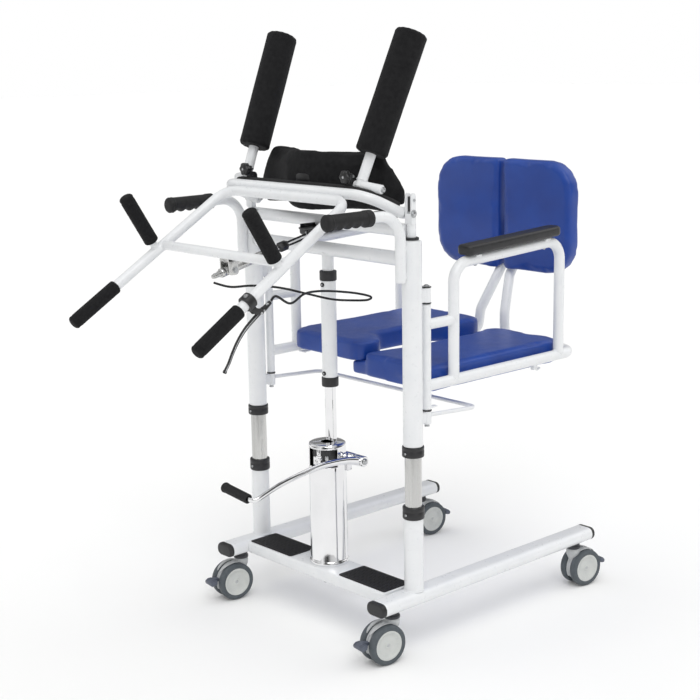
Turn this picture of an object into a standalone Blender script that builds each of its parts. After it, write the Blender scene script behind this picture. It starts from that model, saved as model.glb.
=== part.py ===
"""Hydraulic sit to stand lift with a split swing-open seat.

Machine frame while modelling: X across the machine (+X is the pump-lever side), Y along it (-Y is the end
with the push handles, +Y the seat), Z up from the floor, with both posts standing at y = 0.
The last step moves everything so that the origin is the middle of the footprint on the floor.
"""

import math

import bmesh
import bpy
from mathutils import Matrix, Vector

# ---- driving dimensions (metres) ---------------------------------------------------------------------------
GAP = 0.0003                      # clearance between separate pieces that touch
SIDES = (("left", -1), ("right", 1))

POST_X = 0.292                    # half the distance between the two posts
POST_R = 0.0235
GUIDE_R = 0.0203                  # steel guide tube
COLLAR_R = 0.0265
BORE_R = 0.0207                   # bore that the guide tube runs in

LEG_FRONT, LEG_REAR = -0.132, 0.666
LEG_W, LEG_H, LEG_Z = 0.060, 0.034, 0.140
LEG_TOP = LEG_Z + LEG_H / 2
BEAM_FRONT, BEAM_REAR, BEAM_H = -0.074, 0.026, 0.030
PAD_X, PAD_Y, PAD_T = (0.092, 0.258), (-0.068, 0.020), 0.0035

LOWER_COLLAR = (0.338, 0.369)
MAST_COLLAR = (0.492, 0.5175)
GUIDE_SPAN = (0.3003, 0.855)
POST_TOP, MAST_BORE_TOP = 1.006, 0.985

PUMP_Y, PUMP_R, PUMP_TOP = -0.014, 0.0475, 0.4745
PISTON_R, PISTON_SPAN = 0.0143, (0.345, 0.690)
COLUMN_R, COLUMN_SPAN, COLUMN_COLLAR_R, COLUMN_COLLAR_H = 0.019, (0.616, 0.9074), 0.0212, 0.024
COLUMN_NECK_R = 0.0147
LEVER_PIVOT = (0.030, 0.430)      # y, z of the pump lever's axis
LEVER_X = 0.079

LOWER_BAR_Z, LOWER_BAR_R = 0.9605, 0.017
UPPER_BAR_YZ, UPPER_BAR_R = (0.0, 1.0285), 0.0155
HANDLE_R, HANDLE_Y, HANDLE_Z, HANDLE_BEND = 0.0125, -0.0355, 1.0695, 0.062
HANDLE_LOW_Z, HANDLE_GRIP_Y = 0.910, (-0.128, -0.2655)
HANDLE_GRIP_R = 0.0195

HINGE_YZ = (-0.004, 1.069)        # the tilt frame's pivot
HINGE_EAR_X = (0.260, 0.274)
TILT_R = 0.0125
HINGE_BAR = (-0.113, 1.1165)      # cross tube of the hinged U
GRIP_BAR = (-0.1324, 1.1022)      # cross tube of the U that carries the long grips
LONG_GRIP_END = Vector((0.2400, -0.583, 0.8245))
LONG_BAR_TOP = Vector((0.2253, GRIP_BAR[0], GRIP_BAR[1]))
LONG_GRIP_LENGTH, LONG_GRIP_R = 0.1425, 0.0168
TIE_BAR_Y = -0.3245
SHORT_GRIP_Y, SHORT_GRIP_R, SHORT_GRIP_SPAN = -0.343, 0.0175, (0.026, 0.160)

ROLLER_FOOT = Vector((0.2132, -0.0501, 1.2037))
ROLLER_TOP = Vector((0.2310, 0.0668, 1.4732))
ROLLER_R = 0.038
ARM_PIVOT = Vector((0.2086, -0.0803, 1.134))    # on an arm's clamped pivot, which runs along X
KNOB = Vector((0.184, -0.0945, 1.153))          # back face of a clamp knob, which turns about Y

CHEST_HALF, CHEST_T, CHEST_Z = 0.264, 0.042, (1.060, 1.208)
CHEST_FRONT_Y, CHEST_BEND, CHEST_DEPTH, CHEST_WING = -0.0762, 0.190, 0.064, 0.26

GAS_TOP = Vector((0.0, -0.050, 1.0035))
GAS_FOOT = Vector((0.0, -0.300, 0.9455))

SEAT_HINGE_Y, HINGE_TUBE_R, PIN_R = 0.0475, 0.0105, 0.005
SEAT_HINGE_Z = (0.5985, 0.8525)
FRAME_R = 0.0135
RAIL_Z, RAIL_REAR = 0.655, 0.598
ARM_FRONT_Y, ARM_REAR_Y, ARM_TOP_Z = 0.140, 0.532, (0.936, 0.955)
LINK_Z = 0.803
BACK_FRONT_Y, BACK_T, BACK_Z, BACK_X = 0.634, 0.040, (0.835, 1.146), (0.003, 0.247)
BACK_TUBE_Y = 0.686                # the backrest tubes behind the back cushions

CASTER_Y = {"front": -0.0754, "rear": 0.6084}
WHEEL_R, WHEEL_T, WHEEL_X, TRAIL = 0.050, 0.021, 0.0185, 0.0285
CASTER_YAW = math.radians(-8)

# ---- scene set-up ------------------------------------------------------------------------------------------
for old in list(bpy.data.objects):
    bpy.data.objects.remove(old, do_unlink=True)

PARTS = bpy.data.collections.new("sit_to_stand_lift")
CUTTERS = bpy.data.collections.new("cutters")
bpy.context.scene.collection.children.link(PARTS)
bpy.context.scene.collection.children.link(CUTTERS)


def material(name, color, roughness, metallic=0.0):
    mat = bpy.data.materials.new(name)
    mat.use_nodes = True
    shader = mat.node_tree.nodes["Principled BSDF"]
    shader.inputs["Base Color"].default_value = (*color, 1)
    shader.inputs["Roughness"].default_value = roughness
    shader.inputs["Metallic"].default_value = metallic
    return mat


WHITE = material("white_powder_coat", (0.82, 0.83, 0.84), 0.35)
BLACK = material("black_plastic", (0.02, 0.02, 0.022), 0.5)
FOAM = material("black_foam", (0.015, 0.015, 0.017), 0.9)
CHROME = material("chrome", (0.75, 0.75, 0.77), 0.08, 1.0)
STEEL = material("brushed_steel", (0.55, 0.55, 0.54), 0.3, 1.0)
BLUE = material("blue_vinyl", (0.02, 0.07, 0.28), 0.45)
TREAD = material("grey_tyre", (0.11, 0.13, 0.14), 0.7)
PEDAL = material("grey_pedal", (0.13, 0.14, 0.17), 0.5)


# ---- shape helpers -----------------------------------------------------------------------------------------
def add(name, mesh, mat=None, collection=PARTS):
    obj = bpy.data.objects.new(name, mesh)
    collection.objects.link(obj)
    if mat is not None:
        mesh.materials.clear()
        mesh.materials.append(mat)
    return obj


def evaluated_mesh(obj):
    bpy.context.view_layer.update()
    graph = bpy.context.evaluated_depsgraph_get()
    return bpy.data.meshes.new_from_object(obj.evaluated_get(graph))


def as_mesh(obj, mat=None):
    """Turn a curve, or an object with modifiers, into a plain welded mesh object in machine coordinates."""
    mesh = evaluated_mesh(obj)
    mesh.transform(obj.matrix_world)
    bm = bmesh.new()
    bm.from_mesh(mesh)
    bmesh.ops.remove_doubles(bm, verts=bm.verts, dist=0.00002)
    bmesh.ops.recalc_face_normals(bm, faces=bm.faces)
    bm.to_mesh(mesh)
    bm.free()
    name, kept = obj.name, mat or (obj.data.materials[0] if obj.data.materials else None)
    bpy.data.objects.remove(obj, do_unlink=True)
    return add(name, mesh, kept)


def combine(target, others, operation):
    """Join the other objects to the target, or cut them from it, and remove them."""
    for other in others:
        modifier = target.modifiers.new(operation.lower(), "BOOLEAN")
        modifier.operation = operation
        modifier.object = other
        target = as_mesh(target)
        bpy.data.objects.remove(other, do_unlink=True)
    return target


def smooth(obj, angle=35):
    obj.data.shade_smooth()
    obj.data.set_sharp_from_angle(angle=math.radians(angle))
    return obj


def rounded_path(points, radius, steps=4):
    """Points of a path whose inner corners are rounded to a bend radius."""
    points = [Vector(p) for p in points]
    path = [points[0]]
    for before, corner, after in zip(points, points[1:], points[2:]):
        u, v = (before - corner).normalized(), (after - corner).normalized()
        half = u.angle(v) / 2
        reach = min(radius / math.tan(half), 0.49 * (before - corner).length, 0.49 * (after - corner).length)
        bend = reach * math.tan(half)
        centre = corner + (u + v).normalized() * bend / math.sin(half)
        start, end = corner + u * reach - centre, corner + v * reach - centre
        for i in range(steps + 1):
            path.append(centre + start.slerp(end, i / steps) * bend)
    path.append(points[-1])
    return path


def tube(name, path, radius, mat, sides=10):
    """A round bar or tube along a path, as a bevelled curve with filled caps."""
    curve = bpy.data.curves.new(name, "CURVE")
    curve.dimensions = "3D"
    curve.bevel_depth = radius
    curve.bevel_resolution = sides // 2 - 2
    curve.use_fill_caps = True
    spline = curve.splines.new("POLY")
    spline.points.add(len(path) - 1)
    for point, place in zip(spline.points, path):
        point.co = (*place, 1)
    curve.materials.append(mat)
    obj = bpy.data.objects.new(name, curve)
    PARTS.objects.link(obj)
    return as_mesh(obj, mat)


def rod(name, start, end, radius, mat, sides=16):
    """A straight round bar between two points."""
    start, end = Vector(start), Vector(end)
    bm = bmesh.new()
    bmesh.ops.create_cone(bm, cap_ends=True, segments=sides, radius1=radius, radius2=radius,
                          depth=(end - start).length)
    turn = (end - start).to_track_quat("Z", "Y").to_matrix().to_4x4()
    bmesh.ops.transform(bm, verts=bm.verts, matrix=Matrix.Translation((start + end) / 2) @ turn)
    mesh = bpy.data.meshes.new(name)
    bm.to_mesh(mesh)
    bm.free()
    return add(name, mesh, mat)


def block(name, low, high, mat, bevel=0.0):
    """A box from its lowest to its highest corner, with its edges rounded."""
    low, high = Vector(low), Vector(high)
    bm = bmesh.new()
    bmesh.ops.create_cube(bm, size=1.0)
    bmesh.ops.scale(bm, verts=bm.verts, vec=high - low)
    bmesh.ops.translate(bm, verts=bm.verts, vec=(low + high) / 2)
    if bevel:
        bmesh.ops.bevel(bm, geom=bm.edges[:], offset=bevel, segments=1, affect="EDGES", profile=0.5)
    mesh = bpy.data.meshes.new(name)
    bm.to_mesh(mesh)
    bm.free()
    return add(name, mesh, mat)


def turned(name, profile, mat, base=(0, 0, 0), axis=(0, 0, 1), steps=20):
    """A turned shape: (radius, height) points down its outer side, spun about an axis with a Screw modifier."""
    mesh = bpy.data.meshes.new(name)
    edges = [(i, i + 1) for i in range(len(profile) - 1)]
    mesh.from_pydata([(r, 0, h) for r, h in profile], edges, [])
    obj = add(name, mesh, mat)
    screw = obj.modifiers.new("turn", "SCREW")
    screw.steps = steps
    screw.render_steps = steps
    screw.use_merge_vertices = True
    screw.merge_threshold = 0.00002
    turn = Vector(axis).to_track_quat("Z", "Y").to_matrix().to_4x4()
    obj.matrix_world = Matrix.Translation(base) @ turn
    return as_mesh(obj, mat)


def slab(name, outline, low, high, mat):
    """A flat outline of (x, y) points, filled and extruded between two heights."""
    curve = bpy.data.curves.new(name, "CURVE")
    curve.dimensions = "2D"
    curve.fill_mode = "BOTH"
    curve.extrude = (high - low) / 2
    spline = curve.splines.new("POLY")
    spline.points.add(len(outline) - 1)
    for point, (x, y) in zip(spline.points, outline):
        point.co = (x, y, 0, 1)
    spline.use_cyclic_u = True
    curve.materials.append(mat)
    obj = bpy.data.objects.new(name, curve)
    PARTS.objects.link(obj)
    obj.location.z = (low + high) / 2
    return as_mesh(obj, mat)


def round_corners(corners, steps=5):
    """Outline points from (x, y, corner radius) corners, each corner an arc."""
    outline = []
    count = len(corners)
    for i, (x, y, radius) in enumerate(corners):
        corner = Vector((x, y))
        u = (Vector(corners[i - 1][:2]) - corner).normalized()
        v = (Vector(corners[(i + 1) % count][:2]) - corner).normalized()
        half = u.angle(v) / 2
        reach = radius / math.tan(half)
        centre = corner + (u + v).normalized() * radius / math.sin(half)
        start, end = corner + u * reach - centre, corner + v * reach - centre
        first, turn = math.atan2(start.y, start.x), start.angle_signed(end)
        for k in range(steps + 1):
            angle = first - turn * k / steps
            outline.append((centre.x + radius * math.cos(angle), centre.y + radius * math.sin(angle)))
    return outline


def mirrored(side, point):
    return Vector((point[0] * side, point[1], point[2]))


def hollow_grip(name, start, end, radius, bore, mat, wall=0.010, steps=14):
    """A handgrip over a tube: a turned sleeve with a closed, rounded end."""
    length = (Vector(end) - Vector(start)).length
    edge = min(0.004, 0.6 * (radius - bore))
    profile = [
        (0.0, length), (radius - edge, length), (radius, length - edge), (radius, edge), (radius - edge, 0.0),
        (bore, 0.0), (bore, length - wall), (0.0, length - wall),
    ]
    return turned(name, profile, mat, start, Vector(end) - Vector(start), steps)


# ---- bodies: an empty on each joint's axis -----------------------------------------------------------------
ORIGINS = {}
EMPTIES = {}


def body(name, place, parent=None):
    empty = bpy.data.objects.new(name + "_axis", None)
    PARTS.objects.link(empty)
    ORIGINS[name] = Vector(place)
    EMPTIES[name] = empty
    if parent is None:
        empty.location = place
    else:
        empty.parent = EMPTIES[parent]
        empty.location = Vector(place) - ORIGINS[parent]


def attach(body_name, *objects):
    for obj in objects:
        obj.parent = EMPTIES[body_name]
        obj.matrix_parent_inverse = Matrix.Translation(-ORIGINS[body_name])


def on_long_bar(y, side=1):
    """The point of a long bar's centre line at a given y."""
    t = (y - LONG_BAR_TOP.y) / (LONG_GRIP_END.y - LONG_BAR_TOP.y)
    return mirrored(side, LONG_BAR_TOP.lerp(LONG_GRIP_END, t))


LONG_DIR = (LONG_GRIP_END - LONG_BAR_TOP).normalized()
BAR_NORMAL = Vector((0, LONG_DIR.z, -LONG_DIR.y)).normalized()      # away from the bar, upwards


# ---- base --------------------------------------------------------------------------------------------------
def build_base():
    body("base", (0, 0, 0))
    for name, side in SIDES:
        half_w, half_h = LEG_W / 2, LEG_H / 2
        corners = [(-half_w, -half_h), (half_w, -half_h), (half_w, half_h), (-half_w, half_h)]
        outline = round_corners([(x, y, half_h * 0.92) for x, y in corners], 4)
        leg = slab(name + "_leg", outline, LEG_FRONT, LEG_REAR, WHITE)
        lay = Matrix.Rotation(math.pi / 2, 4, "X") @ Matrix.Translation((0, 0, -LEG_FRONT - LEG_REAR))
        leg.data.transform(Matrix.Translation((side * POST_X, 0, LEG_Z)) @ lay)
        attach("base", smooth(leg))

        bottom = LEG_TOP + GAP
        low, high = LOWER_COLLAR
        floor = GUIDE_SPAN[0] - GAP
        profile = [
            (0, floor), (BORE_R, floor), (BORE_R, high),
            (COLLAR_R - 0.002, high), (COLLAR_R, high - 0.002),
            (COLLAR_R, low + 0.002), (COLLAR_R - 0.002, low),
            (POST_R, low), (POST_R, bottom), (0, bottom),
        ]
        post = turned(name + "_post", profile, WHITE, (side * POST_X, 0, 0), steps=24)
        x = side * POST_X
        guide = rod(name + "_guide_tube", (x, 0, GUIDE_SPAN[0]), (x, 0, GUIDE_SPAN[1]), GUIDE_R, STEEL, 24)
        low_x, high_x = sorted((side * PAD_X[0], side * PAD_X[1]))
        pad_low = (low_x, PAD_Y[0], LEG_TOP + GAP)
        pad_high = (high_x, PAD_Y[1], LEG_TOP + PAD_T)
        pad = block(name + "_foot_pad", pad_low, pad_high, BLACK, 0.001)
        attach("base", smooth(post), smooth(guide), pad)

    inner = POST_X - LEG_W / 2 - GAP
    beam = block("cross_beam", (-inner, BEAM_FRONT, LEG_TOP - BEAM_H), (inner, BEAM_REAR, LEG_TOP),
                 WHITE, 0.004)
    attach("base", beam)

    bottom = LEG_TOP + GAP
    profile = [
        (0, PUMP_TOP), (PUMP_R - 0.006, PUMP_TOP),
        (PUMP_R - 0.001, PUMP_TOP - 0.003), (PUMP_R, PUMP_TOP - 0.009),
        (PUMP_R, bottom + 0.012), (PUMP_R + 0.003, bottom + 0.009), (PUMP_R + 0.003, bottom), (0, bottom),
    ]
    pump = turned("pump_cylinder", profile, CHROME, (0, PUMP_Y, 0), steps=32)
    bore = rod("pump_bore", (0, 0, bottom + 0.012), (0, 0, PUMP_TOP + 0.02), PISTON_R + 0.0005, CHROME, 24)
    y, z = LEVER_PIVOT
    boss = rod("lever_boss", (0.010, y, z), (0.052, y, z), 0.0125, CHROME, 16)
    pump = combine(pump, [boss], "UNION")
    pump = combine(pump, [bore], "DIFFERENCE")
    pin = rod("lever_pin", (0.045, y, z), (0.096, y, z), 0.006, CHROME, 12)
    attach("base", smooth(combine(pump, [pin], "UNION")))


def build_pump_lever():
    y, z = LEVER_PIVOT
    body("pump_lever", (LEVER_X, y, z), "base")
    hub = rod("pump_lever", (LEVER_X - 0.0185, y, z), (LEVER_X + 0.0115, y, z), 0.0138, CHROME, 18)
    arm_path = [
        (LEVER_X, y - 0.004, z + 0.002), (LEVER_X, -0.030, 0.4420), (LEVER_X, -0.105, 0.4455),
        (LEVER_X, -0.170, 0.4380), (LEVER_X, -0.235, 0.4265), (LEVER_X, -0.306, 0.4040),
        (LEVER_X - 0.012, -0.316, 0.4040), (-0.020, -0.316, 0.4130),
    ]
    arm = tube("lever_arm", rounded_path(arm_path, 0.03, 2), 0.0075, CHROME, 8)
    lever = combine(hub, [arm], "UNION")
    hole = rod("lever_hole", (0, y, z), (0.2, y, z), 0.0064, CHROME, 12)
    lever = combine(lever, [hole], "DIFFERENCE")
    pedal_in, pedal_out = Vector((0.058, -0.316, 0.4049)), Vector((-0.034, -0.316, 0.4144))
    pedal = hollow_grip("pump_pedal", pedal_in, pedal_out, 0.0135, 0.0082, BLACK)
    attach("pump_lever", smooth(lever), smooth(pedal))


# ---- casters -----------------------------------------------------------------------------------------------
def build_caster(end, side_name, side):
    """A twin-wheel caster: hood with stem, two wheels on one axle, and a brake pedal."""
    prefix = end + "_" + side_name
    direction = -1 if end == "front" else 1
    stem = Vector((side * POST_X, CASTER_Y[end], 0))
    turn = Matrix.Translation(stem) @ Matrix.Rotation(CASTER_YAW, 4, "Z")
    wheel_y = direction * TRAIL
    body(prefix + "_swivel", (stem.x, stem.y, 0.1), "base")
    hub = turn @ Vector((0, wheel_y, WHEEL_R))
    body(prefix + "_wheels", hub, prefix + "_swivel")
    pivot = turn @ Vector((0, wheel_y + direction * 0.028, WHEEL_R + 0.014))
    body(prefix + "_brake", pivot, prefix + "_swivel")

    inner = WHEEL_X - WHEEL_T / 2 - 0.0008
    core = rod(prefix + "_caster_hood", (-inner, wheel_y, WHEEL_R), (inner, wheel_y, WHEEL_R),
               0.030, WHITE, 20)
    neck = block("neck", (-inner, min(0, wheel_y) - 0.012, WHEEL_R + 0.004),
                 (inner, max(0, wheel_y) + 0.012, 0.1085), WHITE, 0.002)
    cap = rod("cap", (0, 0, 0.1035), (0, 0, 0.1135), 0.019, WHITE, 16)
    shaft = rod("stem", (0, 0, 0.105), (0, 0, LEG_Z - LEG_H / 2 - GAP), 0.0085, WHITE, 10)
    hood = combine(core, [neck, cap, shaft], "UNION")
    axle_hole = rod("axle_hole", (-0.1, wheel_y, WHEEL_R), (0.1, wheel_y, WHEEL_R), 0.0066, WHITE, 12)
    hood = combine(hood, [axle_hole], "DIFFERENCE")

    wheels = rod(prefix + "_caster_wheels", (-WHEEL_X, wheel_y, WHEEL_R), (WHEEL_X, wheel_y, WHEEL_R),
                 0.006, TREAD, 10)
    half = WHEEL_T / 2
    profile = [
        (0, half), (0.0465, half), (WHEEL_R, half - 0.004),
        (WHEEL_R, -half + 0.004), (0.0465, -half), (0, -half),
    ]
    discs = [turned("disc", profile, TREAD, (s * WHEEL_X, wheel_y, WHEEL_R), (s, 0, 0), 24)
             for s in (-1, 1)]
    wheels = combine(wheels, discs, "UNION")

    tail = sorted((wheel_y + direction * 0.0315, wheel_y + direction * 0.070))
    pedal = block(prefix + "_brake_pedal", (-0.0068, tail[0], WHEEL_R + 0.006),
                  (0.0068, tail[1], WHEEL_R + 0.018), PEDAL, 0.002)
    toe = sorted((wheel_y + direction * 0.0545, wheel_y + direction * 0.074))
    plate = block("toe", (-0.019, toe[0], WHEEL_R - 0.002), (0.019, toe[1], WHEEL_R + 0.012), PEDAL, 0.003)
    pedal = combine(pedal, [plate], "UNION")
    for obj, body_name in ((hood, "_swivel"), (wheels, "_wheels"), (pedal, "_brake")):
        obj.data.transform(turn)
        attach(prefix + body_name, smooth(obj))


# ---- mast --------------------------------------------------------------------------------------------------
def handle_path(side):
    x = side * POST_X
    return rounded_path([(x, HANDLE_Y, HANDLE_LOW_Z), (x, HANDLE_Y, HANDLE_Z),
                         (x, HANDLE_GRIP_Y[1] + 0.014, HANDLE_Z)], HANDLE_BEND, 5)


def build_mast_side(name, side):
    """A post's sliding upper tube with its handle tube, tilt hinge plates and the seat's hinge brackets."""
    x = side * POST_X
    bottom = MAST_COLLAR[1] + GAP
    profile = [
        (0, POST_TOP), (POST_R, POST_TOP), (POST_R, bottom), (BORE_R, bottom), (BORE_R, MAST_BORE_TOP),
        (0, MAST_BORE_TOP),
    ]
    mast = turned(name + "_mast", profile, WHITE, (x, 0, 0), steps=24)
    handle = tube("handle_tube", handle_path(side), HANDLE_R, WHITE, 12)
    stub = rod("stub", (x, 0, POST_TOP - 0.004), (x, 0, 1.047), 0.010, WHITE, 12)
    plates = block("plates", (x - 0.0115, -0.0100, 1.044), (x + 0.0115, 0.0040, 1.116), WHITE, 0.001)
    slot = block("slot", (x - 0.0045, -0.03, 1.0755), (x + 0.0055, 0.03, 1.13), WHITE)
    plates = combine(plates, [slot], "DIFFERENCE")
    y, z = HINGE_YZ
    ends = sorted((x - side * 0.008, side * (HINGE_EAR_X[0] - 0.004)))
    pin = rod("hinge_pin", (ends[0], y, z), (ends[1], y, z), 0.0058, WHITE, 12)
    pieces = [handle, stub, plates, pin]
    for low, high in ((0.563, 0.5970), (0.8540, 0.8940)):
        pieces.append(rod("sleeve", (x, SEAT_HINGE_Y, low), (x, SEAT_HINGE_Y, high), HINGE_TUBE_R, WHITE, 14))
        lug_low, lug_high = (x - 0.008, POST_R - 0.003, low + 0.004), (x + 0.008, SEAT_HINGE_Y, high - 0.004)
        pieces.append(block("lug", lug_low, lug_high, WHITE))
    pieces.append(rod("seat_pin", (x, SEAT_HINGE_Y, 0.590), (x, SEAT_HINGE_Y, 0.860), PIN_R, WHITE, 10))
    mast = combine(mast, pieces, "UNION")
    low, high = MAST_COLLAR
    ring = [
        (BORE_R, high), (COLLAR_R - 0.002, high), (COLLAR_R, high - 0.002), (COLLAR_R, low + 0.002),
        (COLLAR_R - 0.002, low), (BORE_R, low), (BORE_R, high),
    ]
    collar = turned(name + "_mast_collar", ring, BLACK, (x, 0, 0))
    grip_start, grip_end = (x, HANDLE_GRIP_Y[0], HANDLE_Z), (x, HANDLE_GRIP_Y[1], HANDLE_Z)
    grip = hollow_grip(name + "_handle_grip", grip_start, grip_end, HANDLE_GRIP_R, HANDLE_R + 0.0004, BLACK)
    attach("mast", smooth(mast), smooth(collar), smooth(grip))


def build_mast():
    body("mast", (0, 0, 0), "base")
    for name, side in SIDES:
        build_mast_side(name, side)

    reach = POST_X - 0.006
    bar = rod("lower_crossbar", (-reach, 0, LOWER_BAR_Z), (reach, 0, LOWER_BAR_Z), LOWER_BAR_R, WHITE, 20)
    neck = rod("neck", (0, 0, COLUMN_SPAN[1] + GAP), (0, 0, LOWER_BAR_Z), COLUMN_NECK_R, WHITE, 20)
    posts = [rod("post_cut", (s * POST_X, 0, 0.9), (s * POST_X, 0, 1.02), POST_R + 0.0006, WHITE, 24)
             for _, s in SIDES]
    bar = combine(bar, [neck], "UNION")
    attach("mast", smooth(combine(bar, posts, "DIFFERENCE")))

    y, z = UPPER_BAR_YZ
    reach = POST_X - 0.012
    bar = rod("upper_crossbar", (-reach, y, z), (reach, y, z), UPPER_BAR_R, WHITE, 20)
    bracket = block("bracket", (-0.032, -0.068, z - 0.0145), (0.032, 0.010, z - 0.0035), BLACK, 0.001)
    eye_y, eye_z = GAS_TOP.y, GAS_TOP.z
    lug = block("lug", (-0.0055, eye_y - 0.008, eye_z - 0.008), (0.0055, eye_y + 0.008, z - 0.008), BLACK)
    pin = rod("gas_pin", (-0.017, eye_y, eye_z), (0.017, eye_y, eye_z), 0.0028, BLACK, 12)
    attach("mast", smooth(combine(bar, [bracket, lug, pin], "UNION")))

    low, high = COLUMN_SPAN
    collar = COLUMN_COLLAR_R
    inner = PISTON_R + 0.0004
    profile = [
        (0, high), (collar, high), (collar, high - COLUMN_COLLAR_H), (COLUMN_R, high - COLUMN_COLLAR_H),
        (COLUMN_R, low + COLUMN_COLLAR_H), (collar, low + COLUMN_COLLAR_H), (collar, low), (inner, low),
        (inner, PISTON_SPAN[1] + GAP), (0, PISTON_SPAN[1] + GAP),
    ]
    column = turned("lift_column", profile, WHITE)
    piston = rod("piston_rod", (0, 0, PISTON_SPAN[0]), (0, 0, PISTON_SPAN[1]), PISTON_R, CHROME, 24)
    attach("mast", smooth(column), smooth(piston))

    x = POST_X
    rear = SEAT_HINGE_Y + 0.0112
    path = [(-x, rear, 0.583), (-x, 0.220, 0.572), (x, 0.220, 0.572), (x, rear, 0.583)]
    support = tube("seat_support_rod", rounded_path(path, 0.020, 4), 0.005, WHITE, 8)
    attach("mast", smooth(support))


# ---- seat halves -------------------------------------------------------------------------------------------
def seat_outline(side):
    """Plan of one seat cushion; the left one laps over the right one's thin lip along the middle."""
    if side > 0:
        corners = [(0.030, 0.082, 0.012), (0.276, 0.078, 0.010), (0.276, 0.583, 0.045),
                   (0.024, 0.583, 0.040), (0.040, 0.420, 0.060), (0.040, 0.300, 0.040),
                   (0.030, 0.200, 0.030)]
    else:
        corners = [(0.020, 0.078, 0.040), (0.020, 0.152, 0.028), (-0.045, 0.215, 0.035),
                   (-0.045, 0.360, 0.035), (0.010, 0.440, 0.040), (0.010, 0.566, 0.040),
                   (-0.266, 0.566, 0.050), (-0.266, 0.086, 0.045)]
    return round_corners(corners, 3)


SEAT_Z = {1: (0.629, 0.686), -1: (0.6635, 0.712)}
LIP_TOP = 0.6610                  # top of the right cushion's lip, under the left cushion


def back_tube_path(side):
    """The backrest tube of one half, from the rear rail up behind the back cushion."""
    return [(side * 0.044, RAIL_REAR + 0.006, RAIL_Z + 0.070), (side * 0.021, 0.650, 0.822),
            (side * 0.021, BACK_TUBE_Y, 0.868), (side * 0.021, BACK_TUBE_Y, 0.965)]


def build_seat_side(name, side):
    x = side * POST_X
    body("seat_" + name, (x, SEAT_HINGE_Y, 0), "mast")
    low, high = SEAT_HINGE_Z
    foot, top = (x, SEAT_HINGE_Y, low), (x, SEAT_HINGE_Y, high)
    hinge = rod(name + "_seat_frame", foot, top, HINGE_TUBE_R, WHITE, 14)
    hoop = rounded_path([(x, ARM_FRONT_Y, RAIL_Z), (x, ARM_FRONT_Y, ARM_TOP_Z[0]),
                         (x, ARM_REAR_Y, ARM_TOP_Z[1]), (x, ARM_REAR_Y, RAIL_Z)], 0.048, 4)
    inner = side * 0.050
    rail = rounded_path([(x, SEAT_HINGE_Y + 0.002, RAIL_Z), (x, RAIL_REAR, RAIL_Z),
                         (inner, RAIL_REAR, RAIL_Z), *back_tube_path(side)], 0.045, 3)
    pieces = [
        tube("rail", rail, FRAME_R, WHITE, 10),
        tube("hoop", hoop, FRAME_R, WHITE, 10),
        rod("link", (x, SEAT_HINGE_Y + 0.002, LINK_Z), (x, ARM_FRONT_Y, LINK_Z), 0.0128, WHITE, 10),
    ]
    frame = combine(hinge, pieces, "UNION")
    bore = rod("pin_bore", (x, SEAT_HINGE_Y, 0.5), (x, SEAT_HINGE_Y, 0.9), PIN_R + 0.0005, WHITE, 12)
    frame = combine(frame, [bore], "DIFFERENCE")

    rise = (ARM_TOP_Z[1] - ARM_TOP_Z[0]) / (ARM_REAR_Y - ARM_FRONT_Y)
    pad = block(name + "_armrest_pad", (-0.024, 0.0, 0.0), (0.024, 0.345, 0.025), BLACK, 0.006)
    start = ARM_TOP_Z[0] + rise * (0.172 - ARM_FRONT_Y) + FRAME_R + 0.0008
    pad.data.transform(Matrix.Translation((x, 0.172, start)) @ Matrix.Rotation(math.atan(rise), 4, "X"))
    attach("seat_" + name, smooth(frame), smooth(pad))


def build_cushions(name, side):
    low, high = SEAT_Z[side]
    seat = slab(name + "_seat_cushion", seat_outline(side), low, high, BLUE)
    if side > 0:
        outline = round_corners([(-0.030, 0.088, 0.018), (0.060, 0.086, 0.010), (0.060, 0.190, 0.010),
                                 (-0.030, 0.172, 0.020)], 3)
        seat = combine(seat, [slab("lip", outline, low, LIP_TOP, BLUE)], "UNION")
    left, right = sorted((side * BACK_X[0], side * BACK_X[1]))
    outer, inner = 0.085, 0.012
    radii = (inner, outer, outer, inner) if side > 0 else (outer, inner, inner, outer)
    places = ((left, BACK_Z[0]), (right, BACK_Z[0]), (right, BACK_Z[1]), (left, BACK_Z[1]))
    outline = round_corners([(x, z, r) for (x, z), r in zip(places, radii)], 4)
    back = slab(name + "_back_cushion", outline, 0, BACK_T, BLUE)
    upright = Matrix.Rotation(math.pi / 2, 4, "X")
    back.data.transform(Matrix.Translation((0, BACK_FRONT_Y + BACK_T, 0)) @ upright)
    notch = tube("notch", rounded_path(back_tube_path(side), 0.045, 3), FRAME_R + 0.001, BLUE)
    back = combine(back, [notch], "DIFFERENCE")
    attach("seat_" + name, smooth(seat), smooth(back))


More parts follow.
